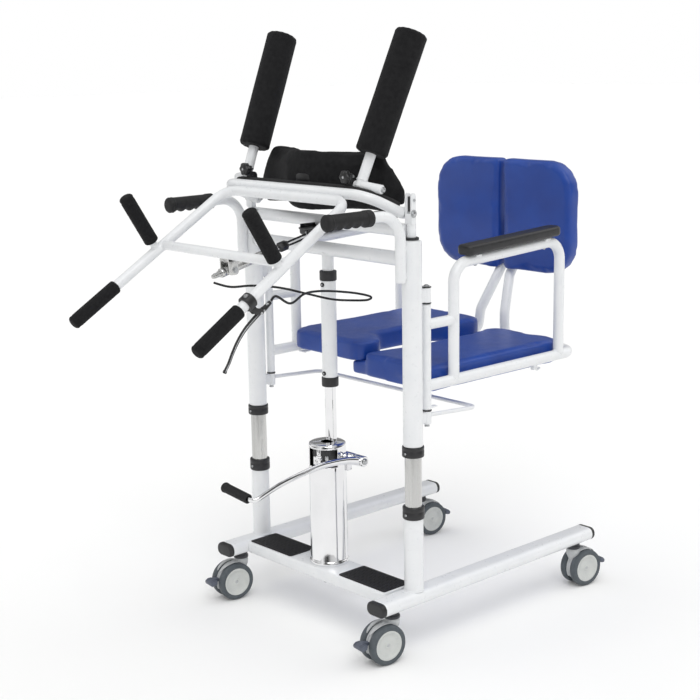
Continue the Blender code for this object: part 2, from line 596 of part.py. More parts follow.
# ---- tilt frame --------------------------------------------------------------------------------------------
def build_tilt_frame():
    y, z = HINGE_YZ
    body("tilt_frame", (0, y, z), "mast")
    bar = LONG_BAR_TOP
    ends = [on_long_bar(LONG_GRIP_END.y + 0.012, s) for _, s in SIDES]
    handle_u = rounded_path([ends[0], mirrored(-1, bar), bar, ends[1]], 0.045, 4)
    x = sum(HINGE_EAR_X) / 2
    hinge_u = rounded_path([(-x, y - 0.004, z), (-0.262, HINGE_BAR[0], HINGE_BAR[1]),
                            (0.262, HINGE_BAR[0], HINGE_BAR[1]), (x, y - 0.004, z)], 0.055, 4)
    frame = tube("tilt_frame", handle_u, TILT_R, WHITE, 12)
    tie = on_long_bar(TIE_BAR_Y)
    pieces = [
        tube("hinge_u", hinge_u, TILT_R, WHITE, 12),
        rod("tie_bar", (-tie.x, tie.y, tie.z), (tie.x, tie.y, tie.z), 0.0112, WHITE, 12),
    ]
    for _, s in SIDES:
        foot = on_long_bar(SHORT_GRIP_Y, s)
        tip = foot + BAR_NORMAL * (SHORT_GRIP_SPAN[1] - 0.012)
        pieces.append(rod("short_stub", foot, tip, 0.009, WHITE, 10))
        low, high = sorted((s * HINGE_EAR_X[0], s * HINGE_EAR_X[1]))
        pieces.append(rod("ear", (low, y, z), (high, y, z), 0.0125, WHITE, 16))
        low, high = sorted((s * 0.1795, s * 0.1860))
        pieces.append(block("arm_lug", (low, ARM_PIVOT.y - 0.0115, 1.1080),
                            (high, ARM_PIVOT.y + 0.0115, ARM_PIVOT.z + 0.0115), WHITE))
        low, high = s * KNOB.x - 0.008, s * KNOB.x + 0.008
        pieces.append(block("web", (low, HINGE_BAR[0], 1.1085), (high, KNOB.y + 0.0075, 1.1240), WHITE))
        pieces.append(block("knob_lug", (low, KNOB.y + GAP, 1.1085),
                            (high, KNOB.y + 0.0075, KNOB.z + 0.009), WHITE))
    pieces.append(block("pad_bracket", (-0.018, HINGE_BAR[0], HINGE_BAR[1] - 0.009),
                        (0.018, CHEST_FRONT_Y - GAP, HINGE_BAR[1] + 0.009), WHITE))
    frame = combine(frame, pieces, "UNION")
    bracket = block("gas_bracket", (-0.017, GAS_FOOT.y - 0.020, GAS_FOOT.z - 0.012),
                    (0.017, GAS_FOOT.y + 0.014, tie.z + 0.002), STEEL, 0.001)
    inside = block("gas_bracket_cut", (-0.0135, GAS_FOOT.y - 0.10, GAS_FOOT.z - 0.10),
                   (0.0135, GAS_FOOT.y + 0.10, GAS_FOOT.z + 0.0185), STEEL)
    bracket = combine(bracket, [inside], "DIFFERENCE")
    frame = combine(frame, [bracket], "UNION")
    cuts = []
    for _, s in SIDES:
        cuts.append(rod("ear_hole", (s * 0.2, y, z), (s * 0.31, y, z), 0.0064, WHITE, 12))
        stud = mirrored(s, KNOB)
        reach = Vector((0, 0.015, 0))
        cuts.append(rod("stud_hole", stud - reach, stud + reach, 0.0045, WHITE, 10))
        pin_y, pin_z = ARM_PIVOT.y, ARM_PIVOT.z
        cuts.append(rod("pin_hole", (s * 0.17, pin_y, pin_z), (s * 0.20, pin_y, pin_z), 0.0045, WHITE, 10))
    across = Vector((0.03, 0, 0))
    cuts.append(rod("gas_hole", GAS_FOOT - across, GAS_FOOT + across, 0.0045, WHITE, 10))
    frame = combine(frame, cuts, "DIFFERENCE")
    attach("tilt_frame", smooth(frame))

    for name, s in SIDES:
        end = mirrored(s, LONG_GRIP_END)
        start = end - mirrored(s, LONG_DIR) * LONG_GRIP_LENGTH
        long_grip = hollow_grip(name + "_long_grip", start, end, LONG_GRIP_R, TILT_R + 0.0004, FOAM,
                                steps=16)
        foot = on_long_bar(SHORT_GRIP_Y, s)
        short_grip = hollow_grip(name + "_short_grip", foot + BAR_NORMAL * SHORT_GRIP_SPAN[0],
                                 foot + BAR_NORMAL * SHORT_GRIP_SPAN[1], SHORT_GRIP_R, 0.0094, FOAM)
        attach("tilt_frame", smooth(long_grip), smooth(short_grip))


def chest_front(x):
    """The pad's front face at x: it bows back from the middle, then runs out in flatter wings."""
    share = min(abs(x) / CHEST_BEND, 1)
    bow = CHEST_DEPTH * (3 * share ** 2 - 2 * share ** 3)
    return CHEST_FRONT_Y + bow + CHEST_WING * max(abs(x) - CHEST_BEND, 0)


def build_chest_pad():
    """A curved pad behind the cross tubes whose wings pass behind the arm rollers."""
    steps = 16
    front, back = [], []
    for i in range(steps + 1):
        x = CHEST_HALF * (2 * i / steps - 1)
        y = chest_front(x)
        front.append((x, y))
        back.append((x * 0.985, y + CHEST_T * (1 - 0.65 * (x / CHEST_HALF) ** 2)))
    pad = slab("chest_pad", front + back[::-1], CHEST_Z[0], CHEST_Z[1], FOAM)
    cuts = []
    for _, s in SIDES:
        low, high = sorted((s * 0.240, s * 0.32))
        cuts.append(block("wing_under", (low, -0.15, 1.0), (high, 0.1, 1.0835), FOAM))
        outline = [(0.1758, 1.230), (0.275, 1.104), (0.340, 1.104), (0.340, 1.350), (0.1758, 1.350)]
        over = slab("wing_over", [(s * x, z) for x, z in outline], -0.2, 0.2, FOAM)
        over.data.transform(Matrix.Rotation(math.pi / 2, 4, "X"))
        cuts.append(over)
    attach("tilt_frame", smooth(combine(pad, cuts, "DIFFERENCE")))


def build_arm(name, side):
    """A padded arm rest: a tube on a clamped cross pivot, its foam roller and the clamp knob."""
    pivot, knob_at = mirrored(side, ARM_PIVOT), mirrored(side, KNOB)
    body("arm_" + name, pivot, "tilt_frame")
    body("knob_" + name, knob_at, "tilt_frame")
    foot, top = mirrored(side, ROLLER_FOOT), mirrored(side, ROLLER_TOP)
    along = (top - foot).normalized()
    stem = tube(name + "_arm_tube", [pivot, foot, top - along * 0.020], 0.0125, WHITE, 14)
    outward = Vector((side, 0, 0))
    barrel = rod("barrel", pivot - outward * 0.0155, pivot + outward * 0.0535, 0.0110, WHITE, 14)
    pin = rod("pin", pivot - outward * 0.0310, pivot - outward * 0.0120, 0.0040, WHITE, 10)
    stem = combine(stem, [barrel, pin], "UNION")
    length = (top - foot).length
    edge = 0.007
    profile = [
        (0, length), (ROLLER_R - edge, length), (ROLLER_R, length - edge), (ROLLER_R, edge),
        (ROLLER_R - edge, 0), (0.0135, 0), (0.0135, length - 0.019), (0, length - 0.019),
    ]
    roller = turned(name + "_arm_roller", profile, FOAM, foot, along, 20)
    attach("arm_" + name, smooth(stem), smooth(roller))

    profile = [(0, 0.018), (0.0130, 0.018), (0.0165, 0.014), (0.0165, 0.004), (0.0130, 0.0), (0.0040, 0.0),
               (0.0040, -0.016), (0, -0.016)]
    knob = turned(name + "_arm_knob", profile, BLACK, knob_at, (0, -1, 0), 14)
    attach("knob_" + name, smooth(knob))


def build_gas_spring():
    """A lockable gas spring: fork-ended rod on the mast, cylinder with release head on the tilt frame."""
    body("gas_cylinder", GAS_FOOT, "tilt_frame")
    body("gas_rod", GAS_TOP, "gas_cylinder")
    up = (GAS_TOP - GAS_FOOT).normalized()
    sleeve = [
        (0.0, 0.010), (0.0062, 0.010), (0.0062, 0.118), (0.0110, 0.118), (0.0110, -0.031),
        (0.0060, -0.032), (0.0060, -0.056), (0.0, -0.056),
    ]
    cylinder = turned("gas_spring_cylinder", sleeve, STEEL, GAS_FOOT, up, 16)
    reach = Vector((0.0165, 0, 0))
    cross = rod("foot_pin", GAS_FOOT - reach, GAS_FOOT + reach, 0.0040, STEEL, 12)
    attach("gas_cylinder", smooth(combine(cylinder, [cross], "UNION")))

    nut_at = 0.150
    profile = [(0, nut_at + 0.020), (0.011, nut_at + 0.020), (0.011, nut_at), (0.0055, nut_at),
               (0.0055, 0.050), (0, 0.050)]
    inner = turned("gas_spring_rod", profile, BLACK, GAS_FOOT, up, 14)
    side_normal = Vector((0.0125, 0, 0))
    pieces = []
    for s in (-1, 1):
        offset = side_normal * s
        start = GAS_FOOT + up * (nut_at + 0.010) + side_normal * s * 0.60
        pieces.append(tube("fork", [start, GAS_FOOT + up * (nut_at + 0.030) + offset,
                                    GAS_TOP - up * 0.006 + offset], 0.0034, BLACK, 8))
        pieces.append(rod("eye", GAS_TOP + offset * 0.72, GAS_TOP + offset * 1.28, 0.0092, BLACK, 14))
    inner = combine(inner, pieces, "UNION")
    across = Vector((0.03, 0, 0))
    hole = rod("eye_hole", GAS_TOP - across, GAS_TOP + across, 0.0060, BLACK, 12)
    attach("gas_rod", smooth(combine(inner, [hole], "DIFFERENCE")))


def build_release():
    """The release lever on the right long bar and its cable to the gas spring's head."""
    clamp_at = on_long_bar(-0.4375)
    along = -LONG_DIR                                    # up the bar, towards the machine
    down = -BAR_NORMAL
    pivot = clamp_at + down * 0.040 + along * 0.012
    body("release_lever", pivot, "tilt_frame")
    ring = rod("lever_clamp", clamp_at - along * 0.011, clamp_at + along * 0.011, 0.0185, BLACK, 16)
    housing = tube("housing", [clamp_at + down * 0.016, clamp_at + down * 0.030 + along * 0.003,
                               pivot + along * 0.004], 0.0079, BLACK, 10)
    nozzle = tube("nozzle", [pivot, pivot + along * 0.014 + down * 0.002, pivot + along * 0.036],
                  0.0058, BLACK, 10)
    clamp = combine(ring, [housing, nozzle], "UNION")
    slot = block("lever_slot", (pivot.x - 0.0034, pivot.y - 0.020, pivot.z - 0.016),
                 (pivot.x + 0.0034, pivot.y + 0.0085, pivot.z + 0.0085), BLACK)
    clamp = combine(clamp, [slot], "DIFFERENCE")
    bar_cut = rod("bar_cut", clamp_at - along * 0.03, clamp_at + along * 0.03, TILT_R + 0.0006, BLACK, 16)
    clamp = combine(clamp, [bar_cut], "DIFFERENCE")
    attach("tilt_frame", smooth(clamp))

    tip = Vector((pivot.x, -0.507, 0.770))
    blade = rounded_path([pivot + Vector((0, -0.0005, 0.0005)), pivot + Vector((0, -0.022, -0.020)),
                          Vector((pivot.x, -0.474, 0.828)), tip], 0.03, 3)
    lever = tube("release_lever", blade, 0.0050, BLACK, 8)
    flatten = Matrix.Translation(pivot) @ Matrix.Diagonal((0.58, 1, 1, 1)) @ Matrix.Translation(-pivot)
    lever.data.transform(flatten)
    attach("release_lever", smooth(lever))

    start = pivot + along * 0.0370
    head = GAS_FOOT + (GAS_FOOT - GAS_TOP).normalized() * 0.046
    cable = tube("release_cable", cable_route(start, along, head), 0.0027, BLACK, 6)
    attach("tilt_frame", smooth(cable))


def cable_route(start, along, head):
    """The cable's centre line: a smooth curve through hand-placed points, sampled every few millimetres."""
    knots = [
        start, start + along * 0.020, Vector((0.224, -0.310, 0.893)), Vector((0.186, -0.238, 0.900)),
        Vector((0.148, -0.165, 0.893)), Vector((0.128, -0.090, 0.881)), Vector((0.124, -0.020, 0.867)),
        Vector((0.124, 0.026, 0.853)), Vector((0.106, 0.034, 0.842)), Vector((0.088, 0.006, 0.842)),
        Vector((0.070, -0.050, 0.850)), Vector((0.050, -0.115, 0.870)), Vector((0.030, -0.180, 0.890)),
        Vector((0.016, -0.250, 0.902)), Vector((0.012, -0.310, 0.906)),
        head + Vector((0.010, -0.012, -0.014)),
    ]
    path = []
    for i in range(len(knots) - 1):
        p0, p1, p2 = knots[max(i - 1, 0)], knots[i], knots[i + 1]
        p3 = knots[min(i + 2, len(knots) - 1)]
        for k in range(3):
            t = k / 3
            path.append(0.5 * (2 * p1 + (p2 - p0) * t + (2 * p0 - 5 * p1 + 4 * p2 - p3) * t ** 2
                               + (3 * p1 - p0 - 3 * p2 + p3) * t ** 3))
    path.append(knots[-1])
    return path


# ---- assembly ----------------------------------------------------------------------------------------------
def centre_on_floor():
    """Move the whole machine so that the origin is the middle of its footprint, on the floor."""
    bpy.context.view_layer.update()
    meshes = [obj for obj in PARTS.objects if obj.type == "MESH"]
    corners = [obj.matrix_world @ Vector(c) for obj in meshes for c in obj.bound_box]
    low = Vector(min(c[i] for c in corners) for i in range(3))
    high = Vector(max(c[i] for c in corners) for i in range(3))
    EMPTIES["base"].location = (-(low.x + high.x) / 2, -(low.y + high.y) / 2, -low.z)
    bpy.context.view_layer.update()


build_base()
build_pump_lever()
for wheel_end in ("front", "rear"):
    for wheel_side, wheel_sign in SIDES:
        build_caster(wheel_end, wheel_side, wheel_sign)
build_mast()
for seat_side, seat_sign in SIDES:
    build_seat_side(seat_side, seat_sign)
    build_cushions(seat_side, seat_sign)
build_tilt_frame()
build_chest_pad()
for arm_side, arm_sign in SIDES:
    build_arm(arm_side, arm_sign)
build_gas_spring()
build_release()
centre_on_floor()
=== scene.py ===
"""Visual model of a hydraulic sit to stand lift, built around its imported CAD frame.

Shapes are made in machine coordinates (metres, posts at y = 0, +X the pump-lever side, +Y the seat side, floor
at z = 0) and moved to the frame by the position of the posts.
"""

import math

import bmesh
import bpy
from mathutils import Matrix, Vector


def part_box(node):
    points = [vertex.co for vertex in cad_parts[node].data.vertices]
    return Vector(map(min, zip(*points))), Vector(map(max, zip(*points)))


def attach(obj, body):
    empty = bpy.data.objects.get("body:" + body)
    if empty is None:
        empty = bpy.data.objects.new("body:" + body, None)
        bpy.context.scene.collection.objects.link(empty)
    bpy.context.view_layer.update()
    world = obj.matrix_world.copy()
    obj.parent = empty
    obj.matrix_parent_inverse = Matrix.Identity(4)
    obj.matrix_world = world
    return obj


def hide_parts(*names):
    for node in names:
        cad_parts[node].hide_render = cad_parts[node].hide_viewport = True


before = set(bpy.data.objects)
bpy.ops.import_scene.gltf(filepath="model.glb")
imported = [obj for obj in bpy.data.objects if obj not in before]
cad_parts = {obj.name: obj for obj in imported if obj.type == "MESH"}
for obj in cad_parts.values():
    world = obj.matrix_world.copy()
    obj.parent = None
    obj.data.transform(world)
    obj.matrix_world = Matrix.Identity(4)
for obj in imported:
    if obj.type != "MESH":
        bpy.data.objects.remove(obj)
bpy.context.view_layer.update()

SIDES = (("left", -1), ("right", 1))
post_low, post_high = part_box("right_post")
Y0 = (post_low.y + post_high.y) / 2
POST_X = (post_low.x + post_high.x) / 2
TO_FRAME = Matrix.Translation((0, Y0, 0))
scene = bpy.context.scene


# ---- camera ------------------------------------------------------------------------------------------------
CAMERA_TURN = (47.862, -12.3355, -0.9966)          # yaw, pitch and roll in degrees
CAMERA_PLACE = (2.5915, -2.2866 + Y0, 1.4408)
CAMERA_LENS, CAMERA_SENSOR = 72.98, 36
CAMERA_SHIFT = (0.0042256, 0.011871)


def make_camera():
    yaw, pitch, roll = (math.radians(a) for a in CAMERA_TURN)
    forward = Vector((-math.sin(yaw) * math.cos(pitch), math.cos(yaw) * math.cos(pitch), math.sin(pitch)))
    right = Vector((math.cos(yaw), math.sin(yaw), 0))
    up = right.cross(forward)
    across = right * math.cos(roll) + up * math.sin(roll)
    upright = up * math.cos(roll) - right * math.sin(roll)
    data = bpy.data.cameras.new("camera")
    data.lens, data.sensor_width = CAMERA_LENS, CAMERA_SENSOR
    data.shift_x, data.shift_y = CAMERA_SHIFT
    camera = bpy.data.objects.new("camera", data)
    scene.collection.objects.link(camera)
    turn = Matrix((across, upright, -forward)).transposed().to_4x4()
    camera.matrix_world = Matrix.Translation(CAMERA_PLACE) @ turn
    scene.camera = camera


make_camera()


# ---- materials ---------------------------------------------------------------------------------------------
def srgb(red, green, blue):
    return tuple(((c / 255 + 0.055) / 1.055) ** 2.4 if c > 10 else c / 255 / 12.92 for c in (red, green, blue))


def make_material(name, color, other, rough, bumps=(), metal=0.0, coat=0.0, coat_rough=0.1, sheen=0.0,
                  specular=0.5, mottle=30.0, spread=0.08, stretch=(1, 1, 1), anisotropic=0.0):
    """A procedural surface: two mottled colours, uneven roughness and stacked fine bumps, scaled in metres.

    Each bump is (texture, features per metre, height in metres, strength)."""
    mat = bpy.data.materials.new(name)
    mat.use_nodes = True
    nodes, links = mat.node_tree.nodes, mat.node_tree.links
    shader = nodes["Principled BSDF"]
    for socket, value in (("Metallic", metal), ("Coat Weight", coat), ("Coat Roughness", coat_rough),
                          ("Sheen Weight", sheen), ("Specular IOR Level", specular), ("Anisotropic", anisotropic)):
        shader.inputs[socket].default_value = value
    coords = nodes.new("ShaderNodeTexCoord")
    mapping = nodes.new("ShaderNodeMapping")
    mapping.inputs["Scale"].default_value = stretch
    links.new(coords.outputs["Object"], mapping.inputs["Vector"])

    def texture(kind, scale, detail=3.0):
        node = nodes.new("ShaderNodeTexNoise" if kind == "noise" else "ShaderNodeTexVoronoi")
        node.inputs["Scale"].default_value = scale
        if kind == "noise":
            node.inputs["Detail"].default_value = detail
        links.new(mapping.outputs["Vector"], node.inputs["Vector"])
        return node.outputs["Fac"] if kind == "noise" else node.outputs["Distance"]

    ramp = nodes.new("ShaderNodeValToRGB")
    ramp.color_ramp.elements[0].position, ramp.color_ramp.elements[1].position = 0.3, 0.7
    ramp.color_ramp.elements[0].color = (*color, 1)
    ramp.color_ramp.elements[1].color = (*other, 1)
    links.new(texture("noise", mottle, 5.0), ramp.inputs["Fac"])
    links.new(ramp.outputs["Color"], shader.inputs["Base Color"])
    span = nodes.new("ShaderNodeMapRange")
    span.inputs["To Min"].default_value = max(0.02, rough - spread)
    span.inputs["To Max"].default_value = rough + spread
    links.new(texture("noise", mottle * 3.7), span.inputs["Value"])
    links.new(span.outputs["Result"], shader.inputs["Roughness"])
    normal = None
    for kind, scale, height, strength in bumps:
        bump = nodes.new("ShaderNodeBump")
        bump.inputs["Distance"].default_value = height
        bump.inputs["Strength"].default_value = strength
        links.new(texture(kind, scale), bump.inputs["Height"])
        if normal is not None:
            links.new(normal, bump.inputs["Normal"])
        normal = bump.outputs["Normal"]
    if normal is not None:
        links.new(normal, shader.inputs["Normal"])
    return mat


WHITE = make_material("white_coat", (0.84, 0.85, 0.86), (0.8, 0.815, 0.83), 0.3,
                      [("noise", 700, 0.00025, 0.12), ("noise", 60, 0.0004, 0.05)], coat=0.25, coat_rough=0.18)
BLACK = make_material("black_plastic", (0.012, 0.012, 0.013), (0.02, 0.02, 0.022), 0.42,
                      [("noise", 1500, 0.00025, 0.25)], mottle=80)
RUBBER = make_material("black_rubber", (0.01, 0.01, 0.011), (0.017, 0.017, 0.018), 0.6,
                       [("voronoi", 1300, 0.0004, 0.35)], specular=0.35, mottle=120)
FOAM = make_material("black_foam", (0.006, 0.006, 0.007), (0.012, 0.012, 0.013), 0.86,
                     [("voronoi", 900, 0.0006, 0.5), ("noise", 45, 0.002, 0.15)], sheen=0.02, specular=0.25,
                     mottle=160)
FABRIC = make_material("black_fabric", (0.005, 0.005, 0.006), (0.011, 0.011, 0.012), 0.8,
                       [("voronoi", 1500, 0.0004, 0.5), ("noise", 26, 0.004, 0.22)], sheen=0.02, specular=0.22,
                       mottle=90)
GLOSSY_BLACK = make_material("glossy_black_vinyl", (0.006, 0.006, 0.007), (0.01, 0.01, 0.011), 0.34,
                             [("noise", 90, 0.0008, 0.15)], coat=0.12, mottle=60)
CHROME = make_material("chrome_plate", (0.86, 0.86, 0.87), (0.8, 0.8, 0.81), 0.055,
                       [("noise", 22, 0.0012, 0.1)], metal=1.0, spread=0.03, mottle=14)
STEEL = make_material("brushed_steel", (0.5, 0.5, 0.49), (0.66, 0.66, 0.65), 0.27,
                      [("noise", 260, 0.0003, 0.25)], metal=1.0, stretch=(1, 1, 0.03), anisotropic=0.5)
ZINC = make_material("zinc_bolt", (0.56, 0.57, 0.58), (0.42, 0.43, 0.44), 0.28,
                     [("noise", 500, 0.0003, 0.2)], metal=1.0, mottle=200)
BLUE = make_material("blue_vinyl", srgb(9, 66, 158), srgb(6, 56, 142), 0.4,
                     [("voronoi", 1100, 0.0005, 0.3), ("noise", 20, 0.004, 0.12)], coat=0.12, coat_rough=0.3,
                     sheen=0.05, mottle=12)
TYRE = make_material("grey_rubber", srgb(84, 90, 95), srgb(73, 80, 85), 0.62,
                     [("noise", 900, 0.0004, 0.3)], mottle=100)
HUB = make_material("pale_wheel_plastic", srgb(206, 208, 205), srgb(196, 199, 197), 0.38,
                    [("noise", 800, 0.0002, 0.15)], mottle=50)
HOOD = make_material("silver_plastic", srgb(190, 192, 193), srgb(172, 175, 177), 0.33,
                     [("noise", 800, 0.0002, 0.15)], coat=0.3, mottle=50)
SMOKE = make_material("dark_grey_plastic", srgb(58, 60, 64), srgb(48, 50, 54), 0.45,
                      [("noise", 900, 0.0003, 0.2)], mottle=70)
PEDAL = make_material("blue_grey_plastic", srgb(92, 97, 110), srgb(80, 86, 98), 0.45,
                      [("noise", 900, 0.0003, 0.2)], mottle=70)
DARK_METAL = make_material("black_oxide_steel", (0.035, 0.035, 0.037), (0.06, 0.06, 0.062), 0.3,
                           [("noise", 600, 0.0003, 0.2)], metal=0.7, mottle=120)

SLOTS = {WHITE: "white_powder_coat", HOOD: "white_powder_coat", BLACK: "black_plastic", RUBBER: "black_plastic",
         GLOSSY_BLACK: "black_plastic", DARK_METAL: "black_plastic", FOAM: "black_foam", FABRIC: "black_foam",
         CHROME: "chrome", STEEL: "brushed_steel", TYRE: "grey_tyre", PEDAL: "grey_pedal"}


# ---- shape helpers -----------------------------------------------------------------------------------------
def rounded_path(points, radius, steps=10):
    """Points of a path whose inner corners are rounded to a bend radius."""
    points = [Vector(p) for p in points]
    path = [points[0]]
    for before, corner, after in zip(points, points[1:], points[2:]):
        u, v = (before - corner).normalized(), (after - corner).normalized()
        half = u.angle(v) / 2
        reach = min(radius / math.tan(half), 0.49 * (before - corner).length, 0.49 * (after - corner).length)
        bend = reach * math.tan(half)
        centre = corner + (u + v).normalized() * bend / math.sin(half)
        start, end = corner + u * reach - centre, corner + v * reach - centre
        for i in range(steps + 1):
            path.append(centre + start.slerp(end, i / steps) * bend)
    path.append(points[-1])
    return path


def smooth_curve(knots, samples=6):
    """A smooth line through the knots."""
    knots = [Vector(k) for k in knots]
    path = []
    for i in range(len(knots) - 1):
        p0, p1, p2 = knots[max(i - 1, 0)], knots[i], knots[i + 1]
        p3 = knots[min(i + 2, len(knots) - 1)]
        for k in range(samples):
            t = k / samples
            path.append(0.5 * (2 * p1 + (p2 - p0) * t + (2 * p0 - 5 * p1 + 4 * p2 - p3) * t ** 2
                               + (3 * p1 - p0 - 3 * p2 + p3) * t ** 3))
    return [*path, knots[-1]]


def round_corners(corners, steps=8):
    """Outline points from (x, y, corner radius) corners, each corner an arc."""
    outline = []
    for i, (x, y, radius) in enumerate(corners):
        corner = Vector((x, y))
        u = (Vector(corners[i - 1][:2]) - corner).normalized()
        v = (Vector(corners[(i + 1) % len(corners)][:2]) - corner).normalized()
        half = u.angle(v) / 2
        reach = radius / math.tan(half)
        centre = corner + (u + v).normalized() * radius / math.sin(half)
        start, end = corner + u * reach - centre, corner + v * reach - centre
        first, turn = math.atan2(start.y, start.x), start.angle_signed(end)
        for k in range(steps + 1):
            angle = first - turn * k / steps
            outline.append((centre.x + radius * math.cos(angle), centre.y + radius * math.sin(angle)))
    return outline


def rounded_box(x0, y0, x1, y1, first, last, steps):
    """The outline of a rectangle; its corners' radii are first at y0 and last at y1."""
    return round_corners([(x0, y0, first), (x1, y0, first), (x1, y1, last), (x0, y1, last)], steps)


def around(count):
    """Angles evenly spaced on a full turn."""
    return [math.tau * k / count for k in range(count)]


def facing(axis):
    """The turn that lays local Z along an axis."""
    return Vector(axis).to_track_quat("Z", "Y").to_matrix().to_4x4()


def mirrored(side, point):
    """The point on the given side of the machine."""
    return Vector((point[0] * side, point[1], point[2]))


def link(name, data):
    obj = bpy.data.objects.new(name, data)
    scene.collection.objects.link(obj)
    return obj


class Shape:
    """A mesh under construction in machine coordinates; side -1 mirrors it across the machine."""

    def __init__(self, side=1):
        self.bm, self.side = bmesh.new(), side

    def skin(self, rings, mat=0, caps=True, soft=True):
        """Faces between rings of points, one after the other, and over the two ends."""
        rows = [[self.bm.verts.new(p) for p in ring] for ring in rings]
        count = len(rows[0])
        faces = []
        for a, b in zip(rows, rows[1:]):
            for i in range(count):
                j = (i + 1) % count
                faces.append(self.bm.faces.new((a[i], a[j], b[j], b[i])))
        if caps:
            faces += [self.bm.faces.new(rows[0][::-1]), self.bm.faces.new(rows[-1])]
        for face in faces:
            face.material_index, face.smooth = mat, soft

    def tube(self, path, radius, mat=0, sides=28, ends=0.0, flat=1.0, up=None):
        """A round or flattened tube along a path; ends is the length over which its ends round off."""
        path = [Vector(p) for p in path]
        radii = list(radius) if hasattr(radius, "__len__") else [radius] * len(path)
        if ends:
            for step in (1, -1):
                last = 0 if step > 0 else len(path) - 1
                tip, inner, size = path[last], path[last + step], radii[last]
                inward = (inner - tip).normalized()
                arc = [(ends * (1 - math.cos(a)), size * (1 - (ends / size) * (1 - math.sin(a))))
                       for a in (0.0, 0.35, 0.7, 1.05, 1.4)]
                extra = [(tip + inward * depth, max(r, 0.0004)) for depth, r in arc]
                keep = (tip + inward * ends, size)
                if step > 0:
                    path = [p for p, _ in extra] + [keep[0]] + path[1:]
                    radii = [r for _, r in extra] + [keep[1]] + radii[1:]
                else:
                    path = path[:-1] + [keep[0]] + [p for p, _ in reversed(extra)]
                    radii = radii[:-1] + [keep[1]] + [r for _, r in reversed(extra)]
        rings, normal = [], None
        for i, (point, size) in enumerate(zip(path, radii)):
            tangent = (path[min(i + 1, len(path) - 1)] - path[max(i - 1, 0)]).normalized()
            if normal is None:
                normal = Vector(up or ((1, 0, 0) if abs(tangent.x) < 0.8 else (0, 0, 1)))
            normal = (normal - tangent * normal.dot(tangent)).normalized()
            other = tangent.cross(normal)
            rings.append([point + normal * size * math.cos(a) + other * size * flat * math.sin(a)
                          for a in around(sides)])
        self.skin(rings, mat)

    def lathe(self, profile, base=(0, 0, 0), axis=(0, 0, 1), mat=0, steps=40, soft=True):
        """A profile of (radius, height) points turned about an axis."""
        turn = Matrix.Translation(base) @ facing(axis)
        rings = [[turn @ Vector((r * math.cos(a), r * math.sin(a), h))
                  for a in around(steps)] for r, h in profile]
        self.skin(rings, mat, caps=False, soft=soft)

    def bead(self, loop, size, mat=0, sides=8):
        """A slightly lumpy weld bead along a closed loop of points."""
        centre = sum(loop, Vector()) / len(loop)
        rings = []
        for i, point in enumerate(loop):
            tangent = (loop[(i + 1) % len(loop)] - loop[i - 1]).normalized()
            out = point - centre
            out = (out - tangent * out.dot(tangent)).normalized()
            other = tangent.cross(out)
            lump = size * (1 + 0.16 * math.sin(i * 2.4))
            rings.append([point + out * lump * math.cos(a) + other * lump * math.sin(a)
                          for a in around(sides)])
        self.skin([*rings, rings[0]], mat, caps=False)

    def weld(self, centre, along, out, big, small, size):
        """The bead where a tube of radius small, running out from centre, meets one of radius big."""
        centre, along, out = Vector(centre), Vector(along).normalized(), Vector(out).normalized()
        across = along.cross(out)
        loop = []
        for a in around(40):
            reach = math.sqrt(max(big ** 2 - (small * math.cos(a)) ** 2, 0))
            loop.append(centre + out * reach + across * small * math.cos(a) + along * small * math.sin(a))
        self.bead(loop, size)

    def ring(self, centre, axis, radius, size):
        """A weld bead around a tube."""
        turn = Matrix.Translation(centre) @ facing(axis)
        self.bead([turn @ Vector((radius * math.cos(a), radius * math.sin(a), 0))
                   for a in around(40)], size)

    def box(self, low, high, bevel=0.001, mat=0, segments=2):
        """A block between two corners, with rounded edges."""
        low, high = Vector(low), Vector(high)
        made = bmesh.ops.create_cube(self.bm, size=1.0)["verts"]
        bmesh.ops.scale(self.bm, verts=made, vec=high - low)
        bmesh.ops.translate(self.bm, verts=made, vec=(low + high) / 2)
        edges = list(dict.fromkeys(e for v in made for e in v.link_edges))
        before = set(self.bm.faces) - {f for v in made for f in v.link_faces}
        bmesh.ops.bevel(self.bm, geom=edges, offset=bevel, segments=segments, affect="EDGES", profile=0.5)
        self._place(before, mat)

    def plate(self, outline, low, high, bevel=0.001, mat=0, turn=None, segments=3, fillet_low=True):
        """A flat outline of (x, y) points between two heights, with rounded rims."""
        before = set(self.bm.faces)
        sets = []
        for z, inset in self._rim(low, high, bevel, segments, fillet_low):
            sets.append([Vector((*p, z)) for p in shrunk(outline, inset)])
        self.skin(sets, mat)
        self._place(before, mat, turn)

    @staticmethod
    def _rim(low, high, bevel, segments, fillet_low):
        quarter = [i / segments * math.pi / 2 for i in range(segments + 1)]
        rise = [(bevel * (1 - math.sin(a)), bevel * (1 - math.cos(a))) for a in quarter]
        bottom = [(low + bevel - bevel * math.sin(a), bevel * (1 - math.cos(a))) for a in reversed(quarter)]
        top = [(high - depth, inset) for depth, inset in rise]
        return (bottom if fillet_low else [(low, 0.0)]) + top

    def _place(self, before, mat, turn=None):
        fresh = [f for f in self.bm.faces if f not in before]
        for face in fresh:
            face.material_index, face.smooth = mat, True
        if turn is not None:
            bmesh.ops.transform(self.bm, verts=list({v for f in fresh for v in f.verts}), matrix=turn)

    def bolt(self, at, axis, radius=0.0048, height=0.0042, mat=0, washer=True):
        """A hexagon head on a washer."""
        if washer:
            self.lathe([(0, 0.001), (radius * 1.45, 0.001), (radius * 1.5, 0.0005), (radius * 1.5, 0), (0, 0)], at,
                       axis, mat, 28)
        self.lathe([(0, height), (radius * 0.82, height), (radius, height - 0.0008), (radius, 0.0008), (0, 0.0008)],
                   at, axis, mat, 6, soft=False)

